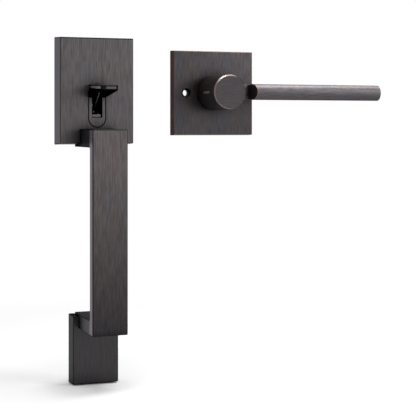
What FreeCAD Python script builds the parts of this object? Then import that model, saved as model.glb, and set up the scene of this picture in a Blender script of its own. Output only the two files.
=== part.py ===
import FreeCAD, Part
import math
import os

import Sketcher

# Entry door handleset, millimetres, +Z up. The door's face is the plane y = 0 and the door lies behind it, at y > 0.
# The origin is where the exterior bore's axis meets the door's face. X runs to the right as the viewer faces the door.
# Depths below are measured from the door's face towards the viewer, so a depth of d lies at y = -d.

doc = FreeCAD.newDocument("entry_door_handleset")
sheet = doc.addObject("Spreadsheet::Sheet", "Sizes")

SIZES = {
    # Fits and clearances
    "running_fit": 0.06,
    "sliding_gap": 0.3,
    "thread_gap": 0.05,
    "spindle_fit": 0.05,
    # Exterior escutcheon, measured at the door's face; its sides lie cover_margin beyond the bolts' axes and its
    # lower edge cover_drop below the bore's axis
    "cover_margin": 6.8,
    "cover_height": 83.7,
    "cover_drop": 41.85,
    "cover_depth": 16.5,
    "cover_wall": 2.2,
    "cover_draft": 3.0,
    "cover_edge": 0.7,
    "cover_boss_radius": 3.4,
    "cover_boss_inset_x": 8.5,
    "cover_boss_inset_z": 8.0,
    # Steel plates behind the covers
    "plate_thickness": 2.5,
    "plate_corner": 3.0,
    "plate_gap": 0.5,
    # Obround surround of the thumb slot
    "slot_width": 13.1,
    "slot_top": 4.8,
    "slot_bottom": -28.0,
    "slot_gap": 0.45,
    "slot_flange": 1.3,
    "slot_flange_thickness": 1.6,
    "slot_body_depth": 11.5,
    "slot_web": 0.7,
    "pocket_width": 8.4,
    "pocket_top": 1.6,
    "pocket_bottom": -20.9,
    "ledge_rise": 0.7,
    "ledge_height": 1.7,
    "ledge_recess": 0.8,
    "ledge_depth": 2.4,
    "ledge_gap": 1.3,
    # Thumbpiece, with its pivot inside the pocket's foot
    "pivot_depth": 8.0,
    "pivot_height": -18.6,
    "pivot_pin_radius": 1.1,
    "pivot_pin_end_gap": 0.4,
    "eye_radius": 2.0,
    "pad_width": 13.2,
    "pad_reach": 38.5,
    "pad_front_gap": 0.8,
    "pad_drop": 1.9,
    "pad_lip": 3.3,
    "pad_corner": 3.2,
    "pad_root": 10.2,
    "pad_skin": 1.8,
    "rib_width": 3.0,
    "rib_reach": 12.5,
    "rib_heel": 2.6,
    "tail_height": 3.0,
    "foot_lift_gap": 0.75,
    "lift_depth": 14.5,
    "lift_foot_depth": 3.0,
    "lift_foot_height": 2.5,
    # Crank that turns the spindle
    "crank_radius": 5.5,
    "crank_shoulder_radius": 6.2,
    "crank_shoulder": 2.0,
    "crank_end_play": 0.15,
    "crank_arm_offset": 9.0,
    "crank_arm_drop": 9.0,
    "crank_arm_radius": 2.0,
    "crank_arm_thickness": 4.0,
    "clip_thickness": 1.0,
    "clip_groove": 0.6,
    "clip_rim": 1.5,
    "spindle_side": 7.0,
    "spindle_reach": 58.0,
    "spindle_depth_in_crank": 13.0,
    "spindle_chamfer": 0.8,
    # Threaded posts for the door's through bolts
    "bolt_spacing": 46.4,
    "post_radius": 4.0,
    "post_neck_radius": 3.0,
    "post_length": 11.5,
    "post_head": 1.0,
    "post_thread_radius": 2.0,
    "post_thread_depth": 13.0,
    # Grip
    "grip_width": 27.2,
    "grip_thickness": 8.1,
    "grip_front": 54.8,
    "grip_top": -29.8,
    "grip_length": 153.8,
    "post_overhang": 1.65,
    "lower_post_height": 10.8,
    "grip_edge": 0.8,
    "grip_inner_radius": 2.0,
    # Foot plate, measured at the door's face
    "foot_width": 37.4,
    "foot_height": 53.9,
    "foot_depth": 12.4,
    "foot_wall": 2.0,
    "foot_rise": 1.0,
    "foot_boss_radius": 3.0,
    "foot_boss_spacing": 20.0,
    "foot_boss_height": 11.0,
    # Countersunk machine screws
    "small_screw_radius": 1.5,
    "small_screw_head": 2.8,
    "small_screw_length": 8.0,
    "grip_screw_radius": 2.0,
    "grip_screw_head": 3.8,
    "grip_screw_length": 11.0,
    "grip_screw_spacing": 14.0,
    "driver_slot": 0.8,
    # Interior side, with its own origin on its own bore axis
    "interior_offset": 98.9,
    "interior_drop": 0.8,
    "rose_side": 68.2,
    "rose_depth": 8.4,
    "rose_wall": 1.8,
    "rose_draft": 2.5,
    "rose_edge": 0.6,
    "rose_plate_thickness": 1.8,
    "screw_hole_radius": 2.6,
    "screw_sink_radius": 3.7,
    "screw_boss_radius": 4.8,
    # Spring cage, driver and bearing behind the rose
    "cage_radius": 16.4,
    "cage_wall": 1.2,
    "cage_depth": 4.6,
    "driver_radius": 7.5,
    "driver_flange_radius": 11.0,
    "driver_flange": 1.4,
    "driver_back": 4.0,
    "driver_rim": 0.95,
    "driver_end_gap": 1.0,
    "driver_bore": 5.8,
    "socket_length": 24.0,
    "socket_web": 2.0,
    "bushing_radius": 12.0,
    "bushing_flange_radius": 13.0,
    "bushing_flange": 0.6,
    # Lever
    "hub_base_radius": 13.8,
    "hub_shoulder_radius": 13.6,
    "hub_face_radius": 12.4,
    "hub_face_depth": 47.4,
    "hub_bevel": 1.4,
    "neck_flush": 11.1,
    "neck_height": 12.0,
    "neck_overlap": 10.0,
    "neck_end_height": 11.6,
    "neck_recess": 1.4,
    "bar_slant": 3.7,
    "bar_radius": 6.2,
    "bar_depth": 50.0,
    "bar_start": 18.8,
    "lever_length": 126.5,
    "bar_edge": 0.5,
    # Lever catch
    "catch_depth": 28.0,
    "catch_length": 15.0,
    "catch_width": 1.7,
    "catch_gap": 0.25,
    "catch_recess": 0.5,
    "catch_inner": 4.0,
    # Spring wire
    "thumb_spring_wire": 0.3,
    "thumb_spring_turns": 2.5,
    "crank_spring_wire": 0.6,
    "crank_spring_turns": 3.0,
    "lever_spring_wire": 0.65,
    "lever_spring_turns": 1.75,
    "catch_spring_wire": 0.25,
    "catch_spring_turns": 6.0,
    "catch_spring_radius": 1.9,
    "coil_steps": 16,
}

# Sizes that follow from the ones above, each an expression on the sheet's own cells.
DERIVED = {
    "cover_width": "bolt_spacing + 2 * cover_margin",
    "cover_bottom": "-cover_drop",
    "cover_top": "cover_height - cover_drop",
    "cover_inner_depth": "cover_depth - cover_wall",
    "plate_width": "cover_width - 2 * cover_wall - 2 * plate_gap",
    "plate_top": "cover_top - cover_wall - plate_gap",
    "plate_bottom": "cover_bottom + cover_wall + plate_gap",
    "boss_x": "cover_width / 2 - cover_boss_inset_x",
    "boss_high": "cover_top - cover_boss_inset_z",
    "boss_low": "cover_bottom + cover_boss_inset_z",
    "slot_radius": "slot_width / 2",
    "slot_back": "cover_depth - slot_body_depth",
    "pin_length": "slot_width - 2 * pivot_pin_end_gap",
    "pad_back": "cover_depth + pad_front_gap",
    "pad_front": "cover_depth + pad_reach",
    "pad_bottom": "slot_top - pad_root",
    "lift_top": "-crank_arm_drop - crank_arm_radius - foot_lift_gap",
    "lift_reach": "sqrt(crank_arm_offset ^ 2 + crank_arm_drop ^ 2) + crank_arm_radius",
    "tail_bottom": "lift_top - tail_height",
    "crank_back": "lift_depth + crank_arm_thickness / 2",
    "crank_front": "plate_thickness + clip_thickness + 0.8",
    "clip_radius": "crank_radius + clip_rim",
    "grip_bottom": "grip_top - grip_length",
    "grip_back": "grip_front - grip_thickness",
    "upper_post_bottom": "cover_bottom - post_overhang",
    "lower_post_top": "grip_bottom + lower_post_height",
    "foot_top": "lower_post_top - foot_rise",
    "foot_centre": "foot_top - foot_height / 2",
    "foot_bottom": "foot_top - foot_height",
    "foot_inner_depth": "foot_depth - foot_wall",
    "foot_plate_width": "foot_width - 2 * foot_wall - 2 * plate_gap",
    "foot_plate_height": "foot_height - 2 * foot_wall - 2 * plate_gap",
    "foot_plate_top": "foot_top - foot_wall - plate_gap",
    "foot_boss_z": "foot_bottom + foot_boss_height",
    "upper_screw_z": "(plate_bottom + grip_top) / 2",
    "lower_screw_z": "(foot_plate_top + grip_bottom) / 2",
    "rose_inner_depth": "rose_depth - rose_wall",
    "rose_plate_side": "rose_side - 2 * rose_wall - 2 * plate_gap",
    "cage_front": "rose_plate_thickness + cage_depth",
    "driver_front": "catch_depth + catch_length / 2 + catch_gap + driver_rim",
    "hub_bore_end": "driver_front + driver_end_gap",
    "hub_base_depth": "rose_depth + bushing_flange + crank_end_play",
    "hub_surface": "hub_base_radius - (hub_base_radius - hub_shoulder_radius)"
                   " * (catch_depth - hub_base_depth) / (hub_face_depth - hub_bevel - hub_base_depth)",
}

row = 0
for alias, size in SIZES.items():
    row += 1
    sheet.set("A%d" % row, alias)
    sheet.set("B%d" % row, str(size))
    sheet.setAlias("B%d" % row, alias)
for alias, rule in DERIVED.items():
    row += 1
    sheet.set("A%d" % row, alias)
    sheet.set("B%d" % row, "=" + rule)
    sheet.setAlias("B%d" % row, alias)
doc.recompute()

WORDS = sorted(list(SIZES) + list(DERIVED), key=len, reverse=True)


def rule(text):
    """An expression for setExpression: each of the sheet's words gets the sheet's name before it."""
    out = []
    word = ""
    for letter in text + " ":
        if letter.isalnum() or letter in "_.":
            word += letter
            continue
        out.append("Sizes." + word if word in WORDS else word)
        out.append(letter)
        word = ""
    return "".join(out).strip()


def number(text):
    """The value of an expression now."""
    value = sheet.evalExpression(rule(text))
    return float(getattr(value, "Value", value))


def bind(item, **places):
    """Bind properties of an object to expressions; a double underscore stands for a dot in the property's path."""
    for place, text in places.items():
        item.setExpression(place.replace("__", "."), rule(text))


def new_body(label, x="0", z="0"):
    """A PartDesign body whose label is its node's name, placed on the door's face at x and z."""
    body = doc.addObject("PartDesign::Body", label)
    body.Label = label
    bind(body, Placement__Base__x=x, Placement__Base__z=z)
    return body


def new_sketch(body, plane, offset="0"):
    """A sketch on one of the body's origin planes, moved along the plane's normal by offset."""
    sketch = body.newObject("Sketcher::SketchObject", "Sketch")
    support = [item for item in body.Origin.OriginFeatures if item.Role == plane][0]
    sketch.AttachmentSupport = (support, [""])
    sketch.MapMode = "FlatFace"
    bind(sketch, AttachmentOffset__Base__z=offset)
    return sketch


def hold_point(sketch, edge, place, across, up):
    """Fix a point of a sketch's edge at two expressions measured from the sketch's origin."""
    for kind, text in (("DistanceX", across), ("DistanceY", up)):
        index = sketch.addConstraint(Sketcher.Constraint(kind, -1, 1, edge, place, number(text)))
        sketch.setExpression("Constraints[%d]" % index, rule(text))


def outline(sketch, points):
    """A closed outline of straight lines through points, each a pair of expressions."""
    first = sketch.GeometryCount
    corners = [FreeCAD.Vector(number(across), number(up), 0) for across, up in points]
    for index, corner in enumerate(corners):
        sketch.addGeometry(Part.LineSegment(corner, corners[(index + 1) % len(corners)]), False)
    for index in range(len(corners)):
        after = first + (index + 1) % len(corners)
        sketch.addConstraint(Sketcher.Constraint("Coincident", first + index, 2, after, 1))
    for index, (across, up) in enumerate(points):
        hold_point(sketch, first + index, 1, across, up)


def rectangle(sketch, left, bottom, right, top):
    """A rectangle between two corners."""
    outline(sketch, [(left, bottom), (right, bottom), (right, top), (left, top)])


def circle(sketch, across, up, radius):
    """A circle about a held centre."""
    middle = FreeCAD.Vector(number(across), number(up), 0)
    edge = sketch.addGeometry(Part.Circle(middle, FreeCAD.Vector(0, 0, 1), number(radius)), False)
    hold_point(sketch, edge, 3, across, up)
    index = sketch.addConstraint(Sketcher.Constraint("Radius", edge, number(radius)))
    sketch.setExpression("Constraints[%d]" % index, rule(radius))


def obround(sketch, start, end, radius):
    """Two half circles about held centres, joined by tangent lines."""
    first = FreeCAD.Vector(number(start[0]), number(start[1]), 0)
    last = FreeCAD.Vector(number(end[0]), number(end[1]), 0)
    size = number(radius)
    along = (last - first).normalize()
    side = FreeCAD.Vector(-along.y, along.x, 0)
    turn = math.atan2(side.y, side.x)
    normal = FreeCAD.Vector(0, 0, 1)
    rear = sketch.addGeometry(Part.ArcOfCircle(Part.Circle(first, normal, size), turn, turn + math.pi), False)
    upper = sketch.addGeometry(Part.LineSegment(first - side * size, last - side * size), False)
    front = sketch.addGeometry(
        Part.ArcOfCircle(Part.Circle(last, normal, size), turn - math.pi, turn), False)
    lower = sketch.addGeometry(Part.LineSegment(last + side * size, first + side * size), False)
    for one, other in ((rear, upper), (upper, front), (front, lower), (lower, rear)):
        sketch.addConstraint(Sketcher.Constraint("Tangent", one, 2, other, 1))
    hold_point(sketch, rear, 3, *start)
    hold_point(sketch, front, 3, *end)
    index = sketch.addConstraint(Sketcher.Constraint("Radius", rear, size))
    sketch.setExpression("Constraints[%d]" % index, rule(radius))


def pad(body, sketch, length, taper="0", both_ways=False, backward=False):
    """Raise a sketch along its normal, or half to each side, or against its normal."""
    feature = body.newObject("PartDesign::Pad", "Pad")
    feature.Profile = sketch
    feature.SideType = "Symmetric" if both_ways else "One side"
    feature.Reversed = backward
    bind(feature, Length=length, TaperAngle=taper)
    doc.recompute()
    return feature


def pocket(body, sketch, length, both_ways=False, backward=False):
    """Cut a sketch against its normal, or half to each side, or along its normal."""
    before = body.Shape.Volume
    feature = body.newObject("PartDesign::Pocket", "Pocket")
    feature.Profile = sketch
    feature.SideType = "Symmetric" if both_ways else "One side"
    feature.Reversed = backward
    bind(feature, Length=length)
    doc.recompute()
    if body.Shape.Volume > before - 1e-3:
        raise RuntimeError("a pocket of %s cuts nothing" % body.Label)
    return feature


def revolve(body, points):
    """Turn an outline of (radius, depth) points about the y axis of the body."""
    sketch = new_sketch(body, "XY_Plane")
    outline(sketch, [(radius, "-(%s)" % depth) for radius, depth in points])
    feature = body.newObject("PartDesign::Revolution", "Revolution")
    feature.Profile = sketch
    feature.ReferenceAxis = (sketch, ["V_Axis"])
    feature.Angle = 360
    doc.recompute()
    return feature


def edges_where(shape, test):
    """Names of a shape's edges that pass a test."""
    return ["Edge%d" % (index + 1) for index, edge in enumerate(shape.Edges) if test(edge)]


def round_edges(body, test, radius, kind="PartDesign::Fillet"):
    """Fillet or chamfer the edges of a body's tip that pass a test."""
    tip = body.Tip
    names = edges_where(tip.Shape, test)
    if not names:
        raise RuntimeError("no edge of %s to round" % body.Label)
    feature = body.newObject(kind, "Edge")
    feature.Base = (tip, names)
    if kind == "PartDesign::Fillet":
        bind(feature, Radius=radius)
    else:
        bind(feature, Size=radius)
    doc.recompute()
    return feature


def edge_span(edge):
    """Lowest and highest corner of an edge."""
    box = edge.BoundBox
    return (box.XMin, box.YMin, box.ZMin), (box.XMax, box.YMax, box.ZMax)


def runs_along(edge, axis):
    """True for a straight edge along x (0), y (1) or z (2)."""
    low, high = edge_span(edge)
    long_way = high[axis] - low[axis]
    others = [high[way] - low[way] for way in range(3) if way != axis]
    return long_way > 0.5 and max(others) < 1e-4


def at_depth(edge, depth):
    """True for an edge that lies whole at one depth in front of the door's face."""
    low, high = edge_span(edge)
    return abs(low[1] + depth) < 1e-3 and abs(high[1] + depth) < 1e-3


def drafted_cover(body, width, top, bottom, depth, wall, draft, edge):
    """A cast cover: a drafted block, hollow from behind, with a softened front edge."""
    sketch = new_sketch(body, "XZ_Plane")
    rectangle(sketch, "-%s / 2" % width, bottom, "%s / 2" % width, top)
    block = pad(body, sketch, depth, taper="-%s" % draft)
    shell = body.newObject("PartDesign::Thickness", "Shell")
    back = [index for index, face in enumerate(block.Shape.Faces) if abs(face.BoundBox.YMin) < 1e-6]
    shell.Base = (block, ["Face%d" % (back[0] + 1)])
    shell.Reversed = True
    bind(shell, Value=wall)
    doc.recompute()
    front = number(depth)
    half = number(width) / 2 - number(wall)

    def outer_edge(item):
        low, high = edge_span(item)
        at_front = abs(low[1] + front) < 1e-3 and abs(high[1] + front) < 1e-3
        middle = item.CenterOfMass
        corner = (not at_front and high[1] - low[1] > front * 0.9 and abs(middle.x) > half)
        return at_front or corner

    round_edges(body, outer_edge, edge)


def mounting_plate(body, width, top, bottom, thickness):
    """A flat steel plate with rounded corners that lies against the door."""
    sketch = new_sketch(body, "XZ_Plane")
    rectangle(sketch, "-%s / 2" % width, bottom, "%s / 2" % width, top)
    pad(body, sketch, thickness)
    round_edges(body, lambda edge: runs_along(edge, 1), "plate_corner")


def countersunk_holes(body, places, radius, head):
    """Screw holes through a plate, countersunk from the door's side."""
    for across, up in places:
        sketch = new_sketch(body, "XZ_Plane")
        circle(sketch, across, up, "%s + thread_gap" % radius)
        pocket(body, sketch, "plate_thickness", backward=True)
        rim = number(head) - number(radius)
        middle = FreeCAD.Vector(number(across), 0, number(up))

        def at_rim(edge):
            return at_depth(edge, 0) and edge.CenterOfMass.distanceToPoint(middle) < 0.1

        if rim > 0:
            round_edges(body, at_rim, "%s - %s" % (head, radius), kind="PartDesign::Chamfer")


def fused(label, pieces, x="0", z="0"):
    """Part solids fused into one node."""
    node = doc.addObject("Part::MultiFuse", label)
    node.Shapes = pieces
    node.Label = label
    bind(node, Placement__Base__x=x, Placement__Base__z=z)
    return node


def rod(x, depth, z, radius, length, direction="back", angle="360"):
    """A Part cylinder that starts at a point and runs back into the door, right along x, or up."""
    item = doc.addObject("Part::Cylinder", "Rod")
    turns = {"back": ((1, 0, 0), -90), "right": ((0, 1, 0), 90), "up": ((0, 0, 1), 0)}
    axis, degrees = turns[direction]
    item.Placement.Rotation = FreeCAD.Rotation(FreeCAD.Vector(*axis), degrees)
    bind(item, Radius=radius, Height=length, Angle=angle)
    bind(item, Placement__Base__x=x, Placement__Base__y="-(%s)" % depth, Placement__Base__z=z)
    return item


def countersunk_screws(label, places, radius, head, length, depth="0"):
    """Identical countersunk machine screws in one node, their heads flush with the door's face."""
    screws = []
    for across, up in places:
        shank = rod(across, "%s + %s" % (depth, length), up, radius, length)
        cone = doc.addObject("Part::Cone", "Head")
        cone.Placement.Rotation = FreeCAD.Rotation(FreeCAD.Vector(1, 0, 0), 90)
        bind(cone, Radius1="%s - thread_gap" % head, Radius2=radius, Height="%s - %s - thread_gap" % (head, radius))
        bind(cone, Placement__Base__x=across, Placement__Base__y="-(%s)" % depth, Placement__Base__z=up)
        slot = doc.addObject("Part::Box", "Slot")
        bind(slot, Length="2 * %s" % head, Width="driver_slot", Height="driver_slot")
        bind(slot, Placement__Base__x="%s - %s" % (across, head), Placement__Base__z="%s - driver_slot / 2" % up,
             Placement__Base__y="-(%s) - driver_slot" % depth)
        solid = doc.addObject("Part::MultiFuse", "Solid")
        solid.Shapes = [shank, cone]
        screw = doc.addObject("Part::Cut", "Screw")
        screw.Base = solid
        screw.Tool = slot
        screws.append(screw)
    node = doc.addObject("Part::Compound", label)
    node.Links = screws
    node.Label = label
    return node


def coil(radius, wire, turns, pitch):
    """A coil about the z axis from z = 0 up, as short straight lengths of six-sided wire mitred to each other."""
    size = number(radius)
    rise = number(pitch)
    steps = round(number(turns) * number("coil_steps"))
    turn = 2 * math.pi * number(turns) / steps
    centres = [FreeCAD.Vector(size * math.cos(index * turn), size * math.sin(index * turn),
                              rise * index * turn / (2 * math.pi)) for index in range(steps + 1)]
    ways = [(after - before).normalize() for before, after in zip(centres, centres[1:])]
    inward = FreeCAD.Vector(1, 0, 0)
    upward = ways[0].cross(inward).normalize()
    inward = upward.cross(ways[0])
    ring = []
    for corner in range(6):
        angle = math.pi * corner / 3
        ring.append(centres[0] + (inward * math.cos(angle) + upward * math.sin(angle)) * number(wire))
    rings = [ring]
    for index, way in enumerate(ways):
        joint = way + (ways[index + 1] if index + 1 < steps else way)
        middle = centres[index + 1]
        rings.append([point + way * ((middle - point).dot(joint) / way.dot(joint)) for point in rings[-1]])
    faces = [Part.Face(Part.makePolygon(end + end[:1])) for end in (rings[0], rings[-1])]
    for first, second in zip(rings, rings[1:]):
        for corner in range(6):
            after = (corner + 1) % 6
            faces.append(Part.Face(Part.makePolygon([first[corner], first[after], second[after], second[corner],
                                                     first[corner]])))
    solid = Part.makeSolid(Part.makeShell(faces))
    if solid.Volume < 0:
        solid.reverse()
    feature = doc.addObject("Part::Feature", "Coil")
    feature.Shape = solid
    return feature


def split_ring(label, inner, outer, thickness, depth, x="0", z="0"):
    """A retaining ring with a gap at its foot, its front face at a depth."""
    rim = rod("0", depth, "0", outer, thickness, angle="310")
    hole = rod("0", "%s + 1" % depth, "0", inner, "%s + 2" % thickness)
    rim.Placement.Rotation = rim.Placement.Rotation.multiply(FreeCAD.Rotation(FreeCAD.Vector(0, 0, 1), 115))
    node = doc.addObject("Part::Cut", label)
    node.Base = rim
    node.Tool = hole
    node.Label = label
    bind(node, Placement__Base__x=x, Placement__Base__z=z)
    return node


def make_escutcheon():
    """Hollow cast cover with the slot's opening, four bosses and a notch for the upper post."""
    body = new_body("exterior_escutcheon")
    drafted_cover(body, "cover_width", "cover_top", "cover_bottom", "cover_depth", "cover_wall", "cover_draft",
                  "cover_edge")
    bosses = new_sketch(body, "XZ_Plane", "plate_thickness")
    places = [(x, z) for x in ("-boss_x", "boss_x") for z in ("boss_low", "boss_high")]
    for across, up in places:
        circle(bosses, across, up, "cover_boss_radius")
    pad(body, bosses, "cover_inner_depth - plate_thickness + cover_wall / 2")
    opening = new_sketch(body, "XZ_Plane", "cover_inner_depth - 1")
    obround(opening, ("0", "slot_bottom + slot_radius"), ("0", "slot_top - slot_radius"), "slot_radius + slot_gap")
    pocket(body, opening, "cover_wall + 2", backward=True)
    notch = new_sketch(body, "XZ_Plane")
    rectangle(notch, "-grip_width / 2 - sliding_gap", "cover_bottom - 1", "grip_width / 2 + sliding_gap",
              "grip_top + sliding_gap")
    pocket(body, notch, "cover_depth + 1", backward=True)
    threads = new_sketch(body, "XZ_Plane", "plate_thickness")
    for across, up in places:
        circle(threads, across, up, "small_screw_radius + thread_gap")
    pocket(body, threads, "small_screw_length", backward=True)
    return body


def make_slot_insert():
    """Obround surround that fills the cover's opening, with a flange behind the front wall and a ledge in its foot."""
    body = new_body("thumb_slot_insert")
    low = ("0", "slot_bottom + slot_radius")
    high = ("0", "slot_top - slot_radius")
    column = new_sketch(body, "XZ_Plane", "slot_back")
    obround(column, low, high, "slot_radius")
    pad(body, column, "slot_body_depth")
    flange = new_sketch(body, "XZ_Plane", "cover_inner_depth - slot_flange_thickness")
    obround(flange, low, high, "slot_radius + slot_flange")
    pad(body, flange, "slot_flange_thickness")
    window = new_sketch(body, "XZ_Plane")
    rectangle(window, "-pocket_width / 2", "pocket_bottom", "pocket_width / 2", "pocket_top")
    pocket(body, window, "cover_depth + 1", backward=True)
    web = new_sketch(body, "XZ_Plane", "slot_back")
    rectangle(web, "-pocket_width / 2 - 1", "pocket_bottom - 1", "pocket_width / 2 + 1", "pocket_top + 1")
    pad(body, web, "slot_web")
    passage = new_sketch(body, "XZ_Plane", "slot_back")
    rectangle(passage, "-rib_width / 2 - sliding_gap", "tail_bottom - 2 * sliding_gap",
              "rib_width / 2 + sliding_gap", "lift_top + 4 * sliding_gap")
    pocket(body, passage, "slot_web", backward=True)
    ledge = new_sketch(body, "XZ_Plane", "cover_depth - ledge_recess - ledge_depth")
    rectangle(ledge, "-pocket_width / 2 - 1", "pocket_bottom + ledge_rise", "pocket_width / 2 - ledge_gap",
              "pocket_bottom + ledge_rise + ledge_height")
    pad(body, ledge, "ledge_depth")
    hole = new_sketch(body, "YZ_Plane")
    circle(hole, "-pivot_depth", "pivot_height", "pivot_pin_radius")
    pocket(body, hole, "slot_width + 1", both_ways=True)
    return body


def make_thumbpiece():
    """Cast lever: a hooded pad in front, a rib through the pocket, an eye on the pin and a tail with a foot."""
    body = new_body("thumbpiece")
    hood = new_sketch(body, "YZ_Plane")
    outline(hood, [("-pad_back", "slot_top"), ("-pad_front", "slot_top - pad_drop"),
                   ("-pad_front", "slot_top - pad_drop - pad_lip"), ("-pad_back", "pad_bottom")])
    pad(body, hood, "pad_width", both_ways=True)
    tip = number("pad_front")
    round_edges(body, lambda edge: at_depth(edge, tip) and runs_along(edge, 2), "pad_corner")
    under = new_sketch(body, "YZ_Plane")
    outline(under, [("-pad_back - pad_skin", "slot_top - pad_skin"),
                    ("-pad_front + 3 * pad_skin", "slot_top - pad_drop - pad_skin"),
                    ("-pad_front + 3 * pad_skin", "pad_bottom - 1"), ("-pad_back - pad_skin", "pad_bottom - 1")])
    pocket(body, under, "pad_width - 2 * pad_skin", both_ways=True)
    rib = new_sketch(body, "YZ_Plane")
    outline(rib, [("-pad_back - rib_reach", "slot_top - pad_skin - 0.5"), ("-pad_back - rib_reach", "slot_top - 5"),
                  ("-pivot_depth - eye_radius", "pivot_height + rib_heel"),
                  ("-pivot_depth - eye_radius", "pivot_height"),
                  ("-pivot_depth + eye_radius", "pivot_height"), ("-pivot_depth + eye_radius", "tail_bottom"),
                  ("lift_depth - lift_foot_depth / 2", "tail_bottom"),
                  ("lift_depth - lift_foot_depth / 2", "lift_top"),
                  ("-slot_back - slot_web - 2 * sliding_gap", "lift_top"),
                  ("-slot_back - slot_web - 2 * sliding_gap", "pocket_top - 5"),
                  ("-pad_back - pad_skin / 2", "pocket_top - 1.5")])
    pad(body, rib, "rib_width", both_ways=True)
    foot = new_sketch(body, "XY_Plane", "lift_top - lift_foot_height")
    rectangle(foot, "-rib_width / 2", "lift_depth - lift_foot_depth / 2", "lift_reach + 0.6",
              "lift_depth + lift_foot_depth / 2")
    pad(body, foot, "lift_foot_height")
    eye = new_sketch(body, "YZ_Plane", "-pocket_width / 2 + sliding_gap")
    circle(eye, "-pivot_depth", "pivot_height", "eye_radius")
    pad(body, eye, "pocket_width / 2 - sliding_gap + rib_width / 2")
    hole = new_sketch(body, "YZ_Plane")
    circle(hole, "-pivot_depth", "pivot_height", "pivot_pin_radius + running_fit")
    pocket(body, hole, "2 * pocket_width", both_ways=True)
    return body


def make_pivot_pin():
    """Plain steel pin held by the insert's two walls."""
    pin = rod("-pin_length / 2", "pivot_depth", "pivot_height", "pivot_pin_radius", "pin_length", "right")
    pin.Label = "thumbpiece_pivot_pin"
    return pin


def make_thumb_spring():
    """Torsion spring on the pin beside the rib, one leg up the rib and one on the insert's foot."""
    turns = coil("pivot_pin_radius + 0.3 + thumb_spring_wire", "thumb_spring_wire", "thumb_spring_turns",
                 "2 * thumb_spring_wire + 0.1")
    turns.Placement.Rotation = FreeCAD.Rotation(FreeCAD.Vector(0, 1, 0), 90)
    bind(turns, Placement__Base__x="rib_width / 2 + thumb_spring_wire + 0.1", Placement__Base__y="-pivot_depth",
         Placement__Base__z="pivot_height")
    leg = rod("rib_width / 2 + thumb_spring_wire + 0.1",
              "pivot_depth", "pivot_height - pivot_pin_radius - 0.3 - thumb_spring_wire",
              "thumb_spring_wire", "pivot_depth - slot_back - slot_web - 0.1")
    return fused("thumbpiece_spring", [turns, leg])


def make_mounting_plate():
    """Steel plate that carries the cover, the crank's bearing and the threaded posts."""
    body = new_body("exterior_mounting_plate")
    mounting_plate(body, "plate_width", "plate_top", "plate_bottom", "plate_thickness")
    holes = new_sketch(body, "XZ_Plane")
    circle(holes, "0", "0", "crank_radius + running_fit")
    circle(holes, "-bolt_spacing / 2", "0", "post_neck_radius")
    circle(holes, "bolt_spacing / 2", "0", "post_neck_radius")
    circle(holes, "-crank_shoulder_radius - sliding_gap - crank_spring_wire", "0", "crank_spring_wire + thread_gap")
    pocket(body, holes, "plate_thickness", backward=True)
    window = new_sketch(body, "XZ_Plane")
    rectangle(window, "-rib_width / 2 - 2 * sliding_gap", "tail_bottom - 2 * sliding_gap",
              "lift_reach + 4 * sliding_gap", "lift_top + 10 * sliding_gap")
    pocket(body, window, "plate_thickness", backward=True)
    cover_places = [(x, z) for x in ("-boss_x", "boss_x") for z in ("boss_low", "boss_high")]
    countersunk_holes(body, cover_places, "small_screw_radius", "small_screw_head")
    grip_places = [(x, "upper_screw_z") for x in ("-grip_screw_spacing / 2", "grip_screw_spacing / 2")]
    countersunk_holes(body, grip_places, "grip_screw_radius", "grip_screw_head")
    return body


def make_threaded_post(label, x, z):
    """Threaded post riveted into a plate: a head in front, a neck in the plate and a stem behind it."""
    body = new_body(label, x, z)
    revolve(body, [("0", "plate_thickness + post_head"), ("post_radius", "plate_thickness + post_head"),
                   ("post_radius", "plate_thickness"), ("post_neck_radius", "plate_thickness"),
                   ("post_neck_radius", "0"), ("post_radius", "0"), ("post_radius", "-post_length"),
                   ("post_thread_radius", "-post_length"),
                   ("post_thread_radius", "-post_length + post_thread_depth"),
                   ("0", "-post_length + post_thread_depth")])
    return body


def make_crank():
    """Hub that turns in the plate, with a square socket and an arm that the thumbpiece's foot lifts."""
    body = new_body("spindle_crank")
    revolve(body, [("0", "crank_front"), ("crank_radius", "crank_front"),
                   ("crank_radius", "plate_thickness + clip_thickness + crank_end_play"),
                   ("crank_radius - clip_groove", "plate_thickness + clip_thickness + crank_end_play"),
                   ("crank_radius - clip_groove", "plate_thickness + crank_end_play / 2"),
                   ("crank_radius", "plate_thickness + crank_end_play / 2"),
                   ("crank_radius", "-crank_end_play"),
                   ("crank_shoulder_radius", "-crank_end_play"),
                   ("crank_shoulder_radius", "-crank_end_play - crank_shoulder"),
                   ("crank_radius", "-crank_end_play - crank_shoulder"),
                   ("crank_radius", "-crank_back"), ("0", "-crank_back")])
    arm = new_sketch(body, "XZ_Plane", "-crank_back")
    obround(arm, ("0", "0"), ("crank_arm_offset", "-crank_arm_drop"), "crank_arm_radius")
    pad(body, arm, "crank_arm_thickness")
    socket = new_sketch(body, "XZ_Plane", "-crank_back")
    side = "spindle_side / 2 + spindle_fit"
    rectangle(socket, "-(%s)" % side, "-(%s)" % side, side, side)
    pocket(body, socket, "spindle_depth_in_crank", backward=True)
    return body


def make_crank_spring():
    """Torsion spring around the crank's hub, one leg in the plate and one behind the arm."""
    radius = "crank_shoulder_radius + sliding_gap + crank_spring_wire"
    turns = coil(radius, "crank_spring_wire", "crank_spring_turns", "2 * crank_spring_wire + 0.3")
    turns.Placement.Rotation = FreeCAD.Rotation(FreeCAD.Vector(1, 0, 0), -90)
    bind(turns, Placement__Base__y="crank_end_play + crank_shoulder + 2 * crank_spring_wire")
    fixed = rod("-(%s)" % radius, "plate_thickness / 2", "0", "crank_spring_wire",
                "plate_thickness / 2 + crank_end_play + crank_shoulder + 3 * crank_spring_wire")
    return fused("crank_return_spring", [turns, fixed])


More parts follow.
